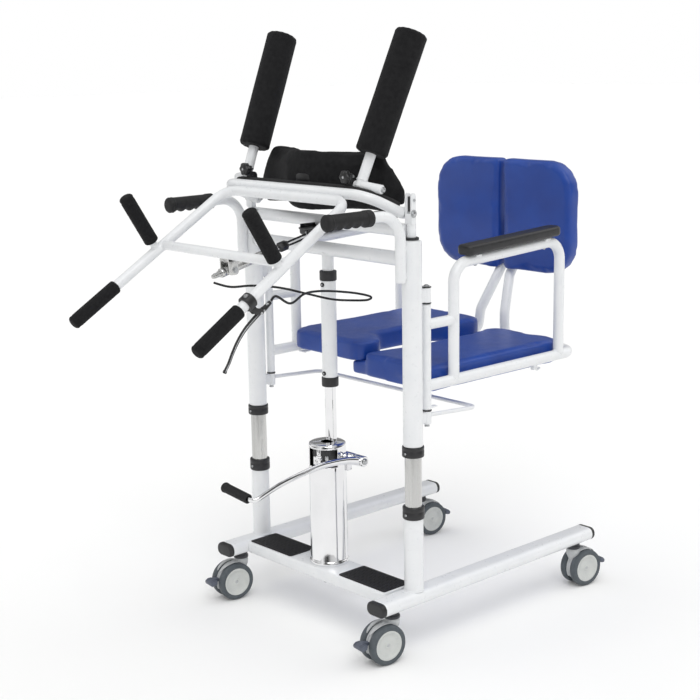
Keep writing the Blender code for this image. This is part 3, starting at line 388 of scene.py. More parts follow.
    def screw(self, at, axis, radius=0.0045, mat=0):
        """A domed socket screw."""
        self.lathe([(0, radius * 0.2), (radius * 0.42, radius * 0.2), (radius * 0.45, radius * 0.72),
                    (radius * 0.8, radius * 0.55), (radius, radius * 0.12), (radius, 0), (0, 0)], at, axis, mat, 24)

    def done(self, name, body, mats, nodes=(), slot=None, turn=None, angle=42):
        """Make the object, in the frame's place, on its body."""
        bm = self.bm
        bmesh.ops.remove_doubles(bm, verts=bm.verts, dist=0.000002)
        bmesh.ops.dissolve_degenerate(bm, edges=bm.edges, dist=0.000001)
        if turn is not None:
            bm.transform(turn)
        if self.side < 0:
            bm.transform(Matrix.Diagonal((-1, 1, 1, 1)))
        bm.transform(TO_FRAME)
        bmesh.ops.recalc_face_normals(bm, faces=bm.faces)
        mesh = bpy.data.meshes.new(name)
        bm.to_mesh(mesh)
        bm.free()
        for mat in mats:
            mesh.materials.append(mat)
        mesh.set_sharp_from_angle(angle=math.radians(angle))
        return keep(link(name, mesh), body, nodes, slot or SLOTS[mats[0]])


def keep(obj, body, nodes, slot):
    """Put a finished piece on its body, in place of CAD nodes; the slot argument is not used."""
    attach(obj, body)
    if nodes:
        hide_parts(*nodes)
    return obj


def shrunk(outline, inset):
    """The outline moved inwards by inset, along its corners' bisectors."""
    if inset == 0:
        return outline
    points = [Vector(p) for p in outline]
    area = sum(a.x * b.y - b.x * a.y for a, b in zip(points, points[1:] + points[:1]))
    turn = 1 if area > 0 else -1
    moved = []
    for i, point in enumerate(points):
        before, after = points[i - 1], points[(i + 1) % len(points)]
        e1, e2 = (point - before).normalized(), (after - point).normalized()
        n1, n2 = Vector((-e1.y, e1.x)) * turn, Vector((-e2.y, e2.x)) * turn
        bisector = (n1 + n2).normalized()
        moved.append(tuple(point + bisector * inset / max(bisector.dot(n1), 0.5)))
    return moved


# ---- shared places, in machine coordinates -----------------------------------------------------------------
LEG_TOP, LEG_FRONT, LEG_REAR = 0.157, -0.132, 0.666
LONG_GRIP_END, LONG_BAR_TOP = Vector((0.24, -0.583, 0.8245)), Vector((0.2253, -0.1324, 1.1022))
LONG_DIR = (LONG_GRIP_END - LONG_BAR_TOP).normalized()
BAR_NORMAL = Vector((0, LONG_DIR.z, -LONG_DIR.y)).normalized()
TILT_R = 0.0125
HINGE_YZ, HINGE_BAR = (-0.004, 1.069), (-0.113, 1.1165)
ARM_PIVOT, KNOB = Vector((0.2086, -0.0803, 1.134)), Vector((0.184, -0.0945, 1.153))
ROLLER_FOOT, ROLLER_TOP = Vector((0.2132, -0.0501, 1.2037)), Vector((0.231, 0.0668, 1.4732))
GAS_TOP, GAS_FOOT = Vector((0, -0.05, 1.0035)), Vector((0, -0.3, 0.9455))
LEVER_Y, LEVER_Z, LEVER_X = 0.03, 0.43, 0.079
PUMP_Y, PUMP_R, PUMP_TOP = -0.014, 0.0475, 0.4745
# lays a (y, z) outline across the machine
SIDEWAYS = Matrix(((0, 0, 1, 0), (1, 0, 0, 0), (0, 1, 0, 0), (0, 0, 0, 1)))


def on_long_bar(y):
    return LONG_BAR_TOP.lerp(LONG_GRIP_END, (y - LONG_BAR_TOP.y) / (LONG_GRIP_END.y - LONG_BAR_TOP.y))


CLAMP = on_long_bar(-0.4375)
LEVER_PIVOT = CLAMP - BAR_NORMAL * 0.04 - LONG_DIR * 0.012
TIE = on_long_bar(-0.3245)


# ---- release cable -----------------------------------------------------------------------------------------
def build_cable():
    along = -LONG_DIR
    start = LEVER_PIVOT + along * 0.037
    head = GAS_FOOT + (GAS_FOOT - GAS_TOP).normalized() * 0.046
    knots = [
        start, start + along * 0.02, Vector((0.224, -0.31, 0.893)), Vector((0.186, -0.238, 0.9)),
        Vector((0.148, -0.165, 0.893)), Vector((0.128, -0.09, 0.881)), Vector((0.124, -0.02, 0.867)),
        Vector((0.124, 0.026, 0.853)), Vector((0.106, 0.034, 0.842)), Vector((0.088, 0.006, 0.842)),
        Vector((0.07, -0.05, 0.85)), Vector((0.05, -0.115, 0.87)), Vector((0.03, -0.18, 0.89)),
        Vector((0.016, -0.25, 0.902)), Vector((0.012, -0.31, 0.906)), head + Vector((0.01, -0.012, -0.014)),
    ]
    knots = [TO_FRAME @ k for k in knots]
    curve = bpy.data.curves.new("release_cable_line", "CURVE")
    curve.dimensions, curve.resolution_u = "3D", 10
    curve.bevel_depth, curve.bevel_resolution = 0.0027, 5
    curve.use_fill_caps = True
    spline = curve.splines.new("BEZIER")
    spline.bezier_points.add(len(knots) - 1)
    for i, (point, place) in enumerate(zip(spline.bezier_points, knots)):
        reach = (knots[min(i + 1, len(knots) - 1)] - knots[max(i - 1, 0)]) / 6
        point.handle_left_type = point.handle_right_type = "FREE"
        point.co, point.handle_left, point.handle_right = place, place - reach, place + reach
    curve.materials.append(RUBBER)
    cable = keep(link("release_cable_line", curve), "tilt_frame", ["release_cable"], "black_plastic")


build_cable()


# ---- base --------------------------------------------------------------------------------------------------
def leg_outline():
    half_w, half_h = 0.03, 0.017
    return rounded_box(-half_w, -half_h, half_w, half_h, half_h * 0.92, half_h * 0.92, 8)


def build_leg(name, side):
    """A flat oval leg tube with a black plug in each end and the post welded on it."""
    lay = Matrix.Translation((POST_X, 0, 0.14)) @ Matrix.Rotation(math.pi / 2, 4, "X")
    leg = Shape(side)
    leg.plate(leg_outline(), -LEG_REAR + 0.0125, -LEG_FRONT - 0.0125, 0.0008, 0, lay)
    for low, high in ((-LEG_FRONT - 0.0125, -LEG_FRONT), (-LEG_REAR, -LEG_REAR + 0.0125)):
        flip = lay @ Matrix.Translation((0, 0, low + high)) @ Matrix.Diagonal((1, 1, -1, 1)) if low < 0 else lay
        leg.plate(leg_outline(), low, high, 0.0055, 1, flip, 5, fillet_low=False)
    leg.screw((POST_X, -0.1285, 0.14), (0, -1, 0), 0.004, 2)
    leg.done(name + "_leg_tube", "base", [WHITE, BLACK, SMOKE], [name + "_leg"])

    post = Shape(side)
    at = (POST_X, 0, 0)
    post.lathe([(0, 0.3395), (0.0235, 0.3395), (0.0235, LEG_TOP), (0, LEG_TOP)], at, mat=0, steps=56)
    post.ring((POST_X, 0, LEG_TOP + 0.0005), (0, 0, 1), 0.024, 0.002)
    post.lathe([(0.0206, 0.3692), (0.0238, 0.3692), (0.0256, 0.3684), (0.0265, 0.3668), (0.0265, 0.359),
                (0.0259, 0.3582), (0.0259, 0.3566), (0.0265, 0.3558), (0.0265, 0.3412), (0.0256, 0.3392),
                (0.0232, 0.338), (0.0206, 0.338)], at, mat=1, steps=56)
    post.screw((POST_X, -0.0263, 0.35), (0, -1, 0), 0.0032, 2)
    post.done(name + "_post_tube", "base", [WHITE, BLACK, ZINC], [name + "_post"])

    guide = Shape(side)
    guide.lathe([(0, 0.852), (0.0185, 0.852), (0.0203, 0.85), (0.0203, 0.302), (0, 0.302)], at, steps=56)
    guide.done(name + "_guide_column", "base", [STEEL], [name + "_guide_tube"])


def build_foot_pad(name, side):
    """A rubber tread plate with rows of raised lozenges inside a plain border."""
    low, high, top = Vector((0.092, -0.068)), Vector((0.258, 0.02)), LEG_TOP + 0.0034
    pad = Shape(side)
    outline = rounded_box(low.x, low.y, high.x, high.y, 0.006, 0.006, 5)
    pad.plate(outline, LEG_TOP + 0.0001, top - 0.0009, 0.0008)
    pitch, columns, rows = 0.0072, 21, 10
    for i in range(columns):
        for j in range(rows):
            x = low.x + 0.0115 + i * pitch + (j % 2) * pitch / 2 - pitch / 4
            y = low.y + 0.0115 + j * pitch
            turn = 1 if (i + j) % 2 else -1
            corners = [Vector((a, b)) for a, b in ((-0.003, 0), (0, -0.0012), (0.003, 0), (0, 0.0012))]
            spin = Matrix.Rotation(turn * math.radians(32), 2)
            rings = []
            for z, scale in ((top - 0.001, 1.0), (top - 0.0001, 0.8)):
                rings.append([Vector((x, y, z)) + (spin @ c * scale).to_3d() for c in corners])
            pad.skin(rings, soft=False)
    pad.done(name + "_foot_tread", "base", [RUBBER], [name + "_foot_pad"])


def build_base():
    for name, side in SIDES:
        build_leg(name, side)
        build_foot_pad(name, side)
    beam = Shape()
    inner = POST_X - 0.03
    beam.box((-inner, -0.074, 0.127), (inner, 0.026, LEG_TOP), 0.005, 0, segments=4)
    for s in (-1, 1):
        for z in (0.1285, 0.1555):
            path = [(s * (inner - 0.001), y, z) for y in (-0.07, -0.045, -0.02, 0.004, 0.022)]
            beam.tube(path, 0.0021, 0, 10, ends=0.002)
    for x, y in ((-0.03, -0.057), (0.04, -0.062), (0.0, 0.02)):
        beam.bolt((x, y, 0.127), (0, 0, -1), 0.0055, 0.0042, 1)
    beam.done("base_cross_beam", "base", [WHITE, ZINC], ["cross_beam"])


# ---- pump --------------------------------------------------------------------------------------------------
def build_pump():
    """The polished hydraulic cylinder with the open window that its lever works in."""
    bottom = LEG_TOP + 0.0003
    # the window's sill, and its two sides in degrees about the cylinder
    low, first, last = 0.417, 244, 352
    profile = [(0.0165, PUMP_TOP - 0.004), (0.0165, PUMP_TOP), (0.0405, PUMP_TOP), (0.0452, PUMP_TOP - 0.0012),
               (0.047, PUMP_TOP - 0.004), (PUMP_R, PUMP_TOP - 0.009), (PUMP_R, low + 0.022), (PUMP_R, low),
               (PUMP_R, 0.3), (PUMP_R, bottom + 0.014), (0.0487, bottom + 0.0112), (0.0505, bottom + 0.0092),
               (0.0505, bottom + 0.001), (0.0498, bottom), (0, bottom)]
    pump = Shape()
    pump.lathe(profile, (0, PUMP_Y, 0), steps=72)
    gone = []
    for face in pump.bm.faces:
        middle = face.calc_center_median() - Vector((0, PUMP_Y, 0))
        angle = math.degrees(math.atan2(middle.y, middle.x)) % 360
        if low < middle.z < PUMP_TOP - 0.01 and first < angle < last and middle.xy.length > 0.04:
            gone.append(face)
    bmesh.ops.delete(pump.bm, geom=gone, context="FACES")
    pump.lathe([(0.04, PUMP_TOP - 0.003), (0.04, low - 0.004), (0.0468, low - 0.004)], (0, PUMP_Y, 0), mat=1,
               steps=56)
    turns = [math.radians(first + (last - first) * i / 24) for i in range(25)]
    arc = [Vector((math.cos(a), math.sin(a), 0)) for a in turns]
    centre = Vector((0, PUMP_Y, 0))
    rim = [centre + d * 0.0468 + Vector((0, 0, low)) for d in arc]
    rim += [centre + d * 0.0468 + Vector((0, 0, PUMP_TOP - 0.01)) for d in reversed(arc)]
    pump.bead(rim, 0.0013, 0, 10)
    # valve block, its screws and the ram yoke inside the window
    pump.box((-0.006, PUMP_Y - 0.043, low + 0.002), (0.02, PUMP_Y - 0.02, low + 0.026), 0.002, 0)
    pump.box((0.018, PUMP_Y - 0.038, low + 0.004), (0.038, PUMP_Y - 0.008, low + 0.018), 0.002, 1)
    pump.lathe([(0, 0.03), (0.006, 0.03), (0.0075, 0.028), (0.0075, 0.012), (0.0095, 0.011), (0.0095, 0), (0, 0)],
               (0.009, PUMP_Y - 0.034, low + 0.018), (0, 0, 1), 0, 28)
    pump.lathe([(0, 0.012), (0.0045, 0.012), (0.005, 0.011), (0.005, 0), (0, 0)],
               (0.03, PUMP_Y - 0.028, low + 0.018), (0, 0, 1), 2, 6, soft=False)
    pump.bolt((0.006, PUMP_Y - 0.0425, low + 0.014), (0, -1, 0), 0.0045, 0.004, 0)
    # lever barrel, its end collar and the pivot pin with a domed head
    for x0, x1, radius, mat in ((0.01, 0.054, 0.0135, 0), (0.0535, 0.0585, 0.0118, 2)):
        pump.lathe([(0, x1), (radius - 0.0012, x1), (radius, x1 - 0.0012), (radius, x0), (0, x0)],
                   (0, LEVER_Y, LEVER_Z), (1, 0, 0), mat, 40)
    pump.box((0.012, LEVER_Y - 0.018, LEVER_Z - 0.03), (0.046, LEVER_Y - 0.002, LEVER_Z + 0.006), 0.003, 0)
    pump.lathe([(0, 0.0958), (0.004, 0.0955), (0.0066, 0.0942), (0.008, 0.0922), (0.008, 0.0914), (0.0058, 0.0914),
                (0.0058, 0.055), (0, 0.055)], (0, LEVER_Y, LEVER_Z), (1, 0, 0), 2, 36)
    pump.bolt((-0.0405, PUMP_Y - 0.025, bottom + 0.023), (-0.85, -0.53, 0), 0.004, 0.0035, 2, False)
    pump.done("pump_body", "base", [CHROME, DARK_METAL, ZINC], ["pump_cylinder"], angle=50)

    lever = Shape()
    lever.lathe([(0.0064, 0.0113), (0.0122, 0.0113), (0.0138, 0.0098), (0.0138, -0.017), (0.0124, -0.0184),
                 (0.0064, -0.0184), (0.0064, 0.0113)], (LEVER_X, LEVER_Y, LEVER_Z), (1, 0, 0), 0, 44)
    x = LEVER_X
    knots = [(x, LEVER_Y - 0.009, LEVER_Z + 0.0005), (x, LEVER_Y - 0.03, LEVER_Z + 0.007), (x, -0.03, 0.442),
             (x, -0.07, 0.4448), (x, -0.11, 0.445), (x, -0.17, 0.438), (x, -0.235, 0.4265), (x, -0.285, 0.412),
             (x - 0.002, -0.306, 0.4045), (x - 0.012, -0.316, 0.4042), (x - 0.03, -0.316, 0.4062),
             (x - 0.06, -0.316, 0.4094), (-0.02, -0.316, 0.413)]
    path = smooth_curve(knots, 6)
    total = len(path) - 1
    radii = []
    for i in range(total + 1):
        t = i / total
        radii.append(0.0102 - 0.004 * min(t / 0.55, 1) + 0.0012 * math.exp(-((t - 0.05) / 0.06) ** 2))
    lever.tube(path, radii, 0, 24, ends=0.003, flat=0.66, up=(0, 0, 1))
    lever.done("pump_lever_arm", "pump_lever", [CHROME], ["pump_lever"])

    pedal = Shape()
    inner, outer = Vector((0.058, -0.316, 0.4049)), Vector((-0.034, -0.316, 0.4144))
    length = (outer - inner).length
    profile = [(0.0072, 0.0), (0.0105, 0.0), (0.0118, 0.0012), (0.0118, 0.004)]
    for i in range(15):
        h = 0.0065 + i * 0.0052
        profile += [(0.0108, h - 0.0016), (0.0119, h - 0.0008), (0.0119, h + 0.0014), (0.0108, h + 0.0022)]
    profile += [(0.0118, length - 0.0085), (0.0128, length - 0.007), (0.013, length - 0.0035),
                (0.0118, length - 0.001), (0.007, length), (0, length)]
    pedal.lathe(profile, inner, outer - inner, 0, 36)
    pedal.done("pump_pedal_rubber", "pump_lever", [RUBBER], ["pump_pedal"], angle=60)


# ---- casters -----------------------------------------------------------------------------------------------
def build_caster(end, side_name, side):
    """A twin wheel caster: ribbed hood on a stem, two tyred wheels with disc hubs, and a wedge brake pedal."""
    prefix = end + "_" + side_name
    direction = -1 if end == "front" else 1
    low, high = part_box(prefix + "_caster_wheels")
    hub = (low + high) / 2
    yaw = math.radians(-8)
    stem_y = hub.y - Y0 - direction * 0.0285 * math.cos(yaw)
    turn = Matrix.Translation((side * POST_X, stem_y, 0)) @ Matrix.Rotation(yaw, 4, "Z")
    y, z = direction * 0.0285, 0.05

    def hub_point(a, r, x):
        return Vector((x, y - direction * math.cos(a) * r, z + math.sin(a) * r))

    hood = Shape()
    half = 0.0072
    rings = []
    for degrees in range(-28, 209, 8):
        radius = 0.0468 + 0.0035 * math.exp(-((degrees - 90) / 40) ** 2)
        rings.append([hub_point(math.radians(degrees), r, half * x) for x, r in (
            (-1, 0.024), (1, 0.024), (1, radius - 0.0015), (0.7, radius), (0.3, radius - 0.0006),
            (0.22, radius - 0.0022), (-0.22, radius - 0.0022), (-0.3, radius - 0.0006), (-0.7, radius),
            (-1, radius - 0.0015))])
    hood.skin(rings)
    hood.lathe([(0.0066, half), (0.03, half), (0.03, -half), (0.0066, -half), (0.0066, half)], (0, y, z), (1, 0, 0),
               0, 40)
    # shroud over the tyres towards the stem
    for s in (-1, 1):
        rows = []
        for i in range(17):
            a = math.radians(38 + 104 * i / 16)
            wide = half + 0.010175 * max(math.sin(i / 16 * math.pi), 0) ** 0.6
            rows.append([hub_point(a, r, s * x) for x, r in (
                (half * 0.8, 0.0512), (wide, 0.0512), (wide + 0.0008, 0.0521), (wide, 0.0532), (half * 0.8, 0.054))])
        hood.skin(rows)
    hood.lathe([(0, 0.1075), (0.0155, 0.1075), (0.018, 0.105), (0.019, 0.1), (0.0176, 0.09), (0.013, 0.08),
                (0.01, 0.07), (0, 0.07)], (0, 0, 0), (0, 0, 1), 0, 40)
    hood.tube([(0, 0, 0.094), (0, y * 0.45, 0.092), (0, y, 0.09)], 0.0125, 0, 24, ends=0.006)
    hood.lathe([(0, 0.1229), (0.015, 0.1229), (0.0166, 0.1222), (0.0172, 0.1205), (0.0172, 0.118), (0.016, 0.117),
                (0.016, 0.115), (0.019, 0.1142), (0.0196, 0.1125), (0.0196, 0.1085), (0.018, 0.1072), (0, 0.1072)],
               (0, 0, 0), (0, 0, 1), 1, 40)
    hood.done(prefix + "_hood_shell", prefix + "_swivel", [HOOD, SMOKE], [prefix + "_caster_hood"], turn=turn)

    wheels = Shape()
    for s in (-1, 1):
        centre, axis = (s * 0.0185, y, z), (s, 0, 0)
        wheels.lathe([(0.037, 0.0088), (0.0405, 0.0096), (0.0445, 0.0102), (0.0475, 0.0092), (0.0492, 0.0068),
                      (0.0499, 0.0035), (0.05, 0.0), (0.0499, -0.0035), (0.0492, -0.0068), (0.0475, -0.0092),
                      (0.044, -0.01), (0.037, -0.009)], centre, axis, 0, 64)
        wheels.lathe([(0.0, 0.0052), (0.004, 0.0052), (0.0052, 0.0062), (0.007, 0.0062), (0.0082, 0.005),
                      (0.0105, 0.004), (0.023, 0.0046), (0.029, 0.006), (0.0312, 0.0084), (0.033, 0.0094),
                      (0.0352, 0.0094), (0.0372, 0.0086), (0.0376, 0.007)], centre, axis, 1, 56)
        wheels.lathe([(0.0376, -0.0085), (0.02, -0.0085), (0.0066, -0.0085)], centre, axis, 1, 40)
        for a in around(24):
            spot = Vector((s * (0.0185 + 0.0048), y + 0.0265 * math.cos(a), z + 0.0265 * math.sin(a)))
            out = Vector((s * 0.0012, 0.0035 * math.cos(a), 0.0035 * math.sin(a)))
            wheels.tube([spot - out, spot + out], 0.0011, 1, 8, ends=0.0006)
    wheels.lathe([(0, 0.024), (0.006, 0.024), (0.006, -0.024), (0, -0.024)], (0, y, z), (1, 0, 0), 2, 24)
    wheels.done(prefix + "_twin_wheels", prefix + "_wheels", [TYRE, HUB, ZINC], [prefix + "_caster_wheels"],
                turn=turn)

    pedal = Shape()
    outline = [(0.0315, 0.062), (0.054, 0.0655), (0.066, 0.064), (0.0725, 0.059), (0.0738, 0.053),
               (0.0715, 0.049), (0.065, 0.0487), (0.056, 0.052), (0.048, 0.0558), (0.0315, 0.0565)]
    lay = Matrix(((0, 0, 1, 0), (direction, 0, 0, y), (0, 1, 0, 0), (0, 0, 0, 1)))
    pedal.plate(outline, -0.0068, 0.0068, 0.0012, 0, lay)
    toe = [(0.055, 0.0625), (0.066, 0.0625), (0.0728, 0.058), (0.0739, 0.053), (0.0716, 0.049),
           (0.065, 0.0488), (0.0565, 0.0512)]
    pedal.plate(toe, -0.0188, 0.0188, 0.0022, 0, lay)
    for k in range(5):
        x = -0.014 + k * 0.007
        rib = [(x, y + direction * ahead, h) for ahead, h in ((0.058, 0.0628), (0.0662, 0.0627), (0.0718, 0.0592))]
        pedal.tube(rib, 0.0009, 0, 8, ends=0.0006)
    pedal.done(prefix + "_brake_lever", prefix + "_brake", [PEDAL], [prefix + "_brake_pedal"], turn=turn)


build_base()
build_pump()
for caster_end in ("front", "rear"):
    for caster_side, caster_sign in SIDES:
        build_caster(caster_end, caster_side, caster_sign)


# ---- mast --------------------------------------------------------------------------------------------------
def grip(name, body, node, side, start, end, radius, mat, fingers=0, knurl=0.0):
    """A closed-ended hand grip, with finger hollows underneath or fine rings, made ring by ring."""
    start, end = Vector(start), Vector(end)
    axis = (end - start).normalized()
    length = (end - start).length
    down = Vector((0, 0, -1))
    down = (down - axis * down.dot(axis)).normalized()
    across = axis.cross(down)
    rings, count, sides = [], 90, 40
    dome, dome_rings = 0.0075, 8
    for i in range(count + 1):
        t = i / count * length
        if i > count - dome_rings:
            t = length - dome * (1 - math.sin((i - count + dome_rings) / dome_rings * math.pi / 2))
        size = radius
        tail = (length - t) / dome
        if tail < 1:
            size = radius * (0.42 + 0.58 * math.sqrt(max(1 - (1 - tail) ** 2, 0)))
        if t < 0.003:
            size = radius * (0.8 + 0.2 * math.sqrt(t / 0.003))
        if length - 0.0135 < t < length - 0.0115:
            size -= 0.0009
        if knurl and 0.01 < t < length - 0.012:
            size -= knurl * (0.5 + 0.5 * math.cos(t / 0.0042 * math.tau)) ** 3
        wave = 0.0
        if fingers and 0.02 < t < length - 0.014:
            u = (t - 0.02) / (length - 0.034) * fingers
            wave = 0.0042 * (0.5 - 0.5 * math.cos(u * math.tau))
        ring = []
        for a in around(sides):
            r = size - wave * max(math.cos(a), 0) ** 0.8
            if fingers and tail >= 1 and 0.02 <= t <= length - 0.014:
                r -= 0.0012
            ring.append(start + axis * t + (down * math.cos(a) + across * math.sin(a)) * r)
        rings.append(ring)
    shape = Shape(side)
    shape.skin(rings, 0)
    shape.done(name, body, [mat], [node])


def build_mast_side(name, side):
    """A sliding upper post: its handle tube, hinge plates, hinge pin and the seat's hinge sleeves."""
    x = POST_X
    mast = Shape(side)
    mast.lathe([(0.0207, 0.518), (0.0228, 0.518), (0.0235, 0.5187), (0.0235, 1.002), (0.0225, 1.0052),
                (0.0195, 1.0068), (0.015, 1.0075), (0.015, 1.0105), (0, 1.0105)], (x, 0, 0), steps=56)
    mast.lathe([(0, 1.0145), (0.015, 1.0145), (0.0166, 1.0138), (0.0172, 1.0122), (0.0172, 1.0098), (0.0165, 1.0082),
                (0, 1.0078)], (x, 0, 0), mat=1, steps=40)
    mast.lathe([(0, 1.047), (0.0105, 1.047), (0.0105, 1.01), (0, 1.01)], (x, 0, 0), steps=36)
    # fork plates on a small base block
    mast.box((x - 0.0112, -0.0096, 1.044), (x + 0.0112, 0.0036, 1.07), 0.0012)
    mast.box((x - 0.005, -0.007, 1.069), (x + 0.006, 0.001, 1.108), 0.001, 1)
    profile = rounded_box(-0.0099, 1.046, 0.0039, 1.1155, 0.002, 0.006, 6)
    for low, high in ((-0.0114, -0.005), (0.006, 0.0114)):
        mast.plate(profile, x + low, x + high, 0.0007, 0, SIDEWAYS, 2)
    y, z = HINGE_YZ
    mast.lathe([(0, 0.046), (0.004, 0.046), (0.005, 0.045), (0.0056, 0.044), (0.0056, -0.011), (0, -0.011)],
               (x, y, z), (-1, 0, 0), 2, 28)
    mast.bolt((x + 0.0114, y, z), (1, 0, 0), 0.0062, 0.005, 2)
    mast.bolt((x + 0.0114, -0.003, 1.1), (1, 0, 0), 0.0036, 0.003, 2, False)
    # handle tube, bent forwards into the push handle
    path = rounded_path([(x, -0.0355, 0.9115), (x, -0.0355, 1.0695), (x, -0.25, 1.0695)], 0.062, 14)
    mast.tube(path, 0.0125, 0, 32, ends=0.006)
    for low, high in ((0.918, 0.936), (0.982, 0.999)):
        for dx in (-0.0058, 0.0058):
            mast.tube([(x + dx, -0.0248, h) for h in (low, (low + high) / 2, high)], 0.0022, 0, 10, ends=0.002)
    # sleeves and lugs of the seat hinge
    for low, high in ((0.563, 0.5972), (0.8538, 0.894)):
        mast.lathe([(0.0052, high), (0.0095, high), (0.0105, high - 0.001), (0.0105, low + 0.001),
                    (0.0095, low), (0.0052, low), (0.0052, high)], (x, 0.0475, 0), mat=0, steps=32)
        mast.box((x - 0.007, 0.0185, low + 0.004), (x + 0.007, 0.0425, high - 0.004), 0.0012)
        for dx in (-0.0078, 0.0078):
            mast.tube([(x + dx, 0.0228, low + 0.005), (x + dx, 0.0228, high - 0.005)], 0.0018, 0, 10, ends=0.0015)
    for h in (0.5958, 0.8552, 0.8928):
        mast.lathe([(0.01, h + 0.0018), (0.0112, h + 0.0014), (0.0115, h), (0.0112, h - 0.0014), (0.01, h - 0.0018)],
                   (x, 0.0475, 0), mat=1, steps=32)
    mast.lathe([(0, 0.899), (0.003, 0.8988), (0.0062, 0.897), (0.0066, 0.894), (0.005, 0.8935), (0.005, 0.56),
                (0.0062, 0.5595), (0.0062, 0.5565), (0, 0.556)], (x, 0.0475, 0), mat=2, steps=28)
    mast.done(name + "_mast_tube", "mast", [WHITE, BLACK, ZINC], [name + "_mast"])

    collar = Shape(side)
    collar.lathe([(0.0207, 0.5176), (0.025, 0.5176), (0.0262, 0.5168), (0.0265, 0.515), (0.0265, 0.5105),
                  (0.0259, 0.5098), (0.0259, 0.5084), (0.0265, 0.5077), (0.0265, 0.4945), (0.0258, 0.4927),
                  (0.024, 0.492), (0.0207, 0.492), (0.0207, 0.5176)], (x, 0, 0), steps=56)
    collar.screw((x, -0.0263, 0.502), (0, -1, 0), 0.003, 1)
    collar.done(name + "_mast_end_collar", "mast", [BLACK, ZINC], [name + "_mast_collar"])
    grip(name + "_push_grip", "mast", name + "_handle_grip", side, (x, -0.128, 1.0695), (x, -0.2655, 1.0695),
         0.0195, RUBBER, fingers=4)


def build_mast():
    for name, side in SIDES:
        build_mast_side(name, side)
    x = POST_X
    lower = Shape()
    reach = x - 0.024
    lower.tube([(-reach, 0, 0.9605), (reach, 0, 0.9605)], 0.017, 0, 40)
    for s in (-1, 1):
        lower.weld((s * x, 0, 0.9605), (0, 0, 1), (-s, 0, 0), 0.0238, 0.0172, 0.002)
    lower.tube([(0, 0, 0.9085), (0, 0, 0.96)], 0.0145, 0, 36)
    lower.weld((0, 0, 0.9605), (1, 0, 0), (0, 0, -1), 0.017, 0.0147, 0.0018)
    lower.done("lower_cross_tube", "mast", [WHITE], ["lower_crossbar"])

    upper = Shape()
    y, z = 0.0, 1.0285
    reach = x - 0.0125
    upper.tube([(-reach, y, z), (reach, y, z)], 0.0155, 0, 40, ends=0.002)
    outline = rounded_box(-0.032, -0.0675, 0.032, 0.008, 0.006, 0.002, 5)
    upper.plate(outline, z - 0.0148, z - 0.011, 0.001, 1)
    for s in (-1, 1):
        upper.box((s * 0.03 - 0.0016, -0.06, z - 0.014), (s * 0.03 + 0.0016, 0.006, z - 0.003), 0.0007, 1)
        upper.bolt((s * 0.0215, -0.018, z - 0.015), (0, 0, -1), 0.0045, 0.0036, 2)
    upper.box((-0.0052, GAS_TOP.y - 0.0075, GAS_TOP.z - 0.0075), (0.0052, GAS_TOP.y + 0.0075, z - 0.0115), 0.0015, 1)
    upper.lathe([(0, 0.0172), (0.0052, 0.0172), (0.0055, 0.016), (0.0055, 0.0152), (0.0028, 0.015),
                 (0.0028, -0.015), (0.0055, -0.0152), (0.0055, -0.016), (0.0052, -0.0172), (0, -0.0172)],
                GAS_TOP, (1, 0, 0), 2, 28)
    upper.box((-x + 0.013, -0.015, z - 0.012), (-x + 0.04, -0.0115, z + 0.014), 0.001, 3)
    upper.done("upper_cross_tube", "mast", [WHITE, DARK_METAL, ZINC, HOOD], ["upper_crossbar"])

    column = Shape()
    column.lathe([(0, 0.905), (0.015, 0.905), (0.019, 0.9045), (0.019, 0.618), (0.0147, 0.618)], steps=52)
    for low, high in ((0.616, 0.64), (0.883, 0.9072)):
        column.lathe([(0.0147, high), (0.02, high), (0.021, high - 0.001), (0.0212, high - 0.003),
                      (0.0212, low + 0.003), (0.021, low + 0.001), (0.02, low), (0.0147, low), (0.0147, high)],
                     mat=1, steps=52)
        spot = Vector((0, -0.019, 0.65 if low < 0.7 else 0.8735))
        column.lathe([(0.0026, 0.003), (0.0044, 0.0034), (0.0054, 0.0022), (0.0056, -0.001), (0.0026, -0.001),
                      (0.0026, 0.003)], spot, (0, -1, 0), 1, 28)
        column.lathe([(0, 0.0026), (0.002, 0.0025), (0.0026, 0.0018), (0.0026, 0), (0, 0)], spot, (0, -1, 0), 2, 20)
    column.done("lift_column_tube", "mast", [WHITE, BLACK, ZINC], ["lift_column"])

    piston = Shape()
    piston.lathe([(0, 0.69), (0.0143, 0.69), (0.0143, 0.346), (0.013, 0.345), (0, 0.345)], steps=52)
    piston.done("chrome_piston", "mast", [CHROME], ["piston_rod"])

    support = Shape()
    path = rounded_path([(-x, 0.0587, 0.583), (-x, 0.22, 0.572), (x, 0.22, 0.572), (x, 0.0587, 0.583)], 0.02, 8)
    support.tube(path, 0.005, 0, 24)
    support.done("seat_rest_rod", "mast", [WHITE], ["seat_support_rod"])


# ---- seat halves -------------------------------------------------------------------------------------------
def back_tube_path():
    return [(0.044, 0.604, 0.725), (0.021, 0.65, 0.822), (0.021, 0.686, 0.868), (0.021, 0.686, 0.965)]


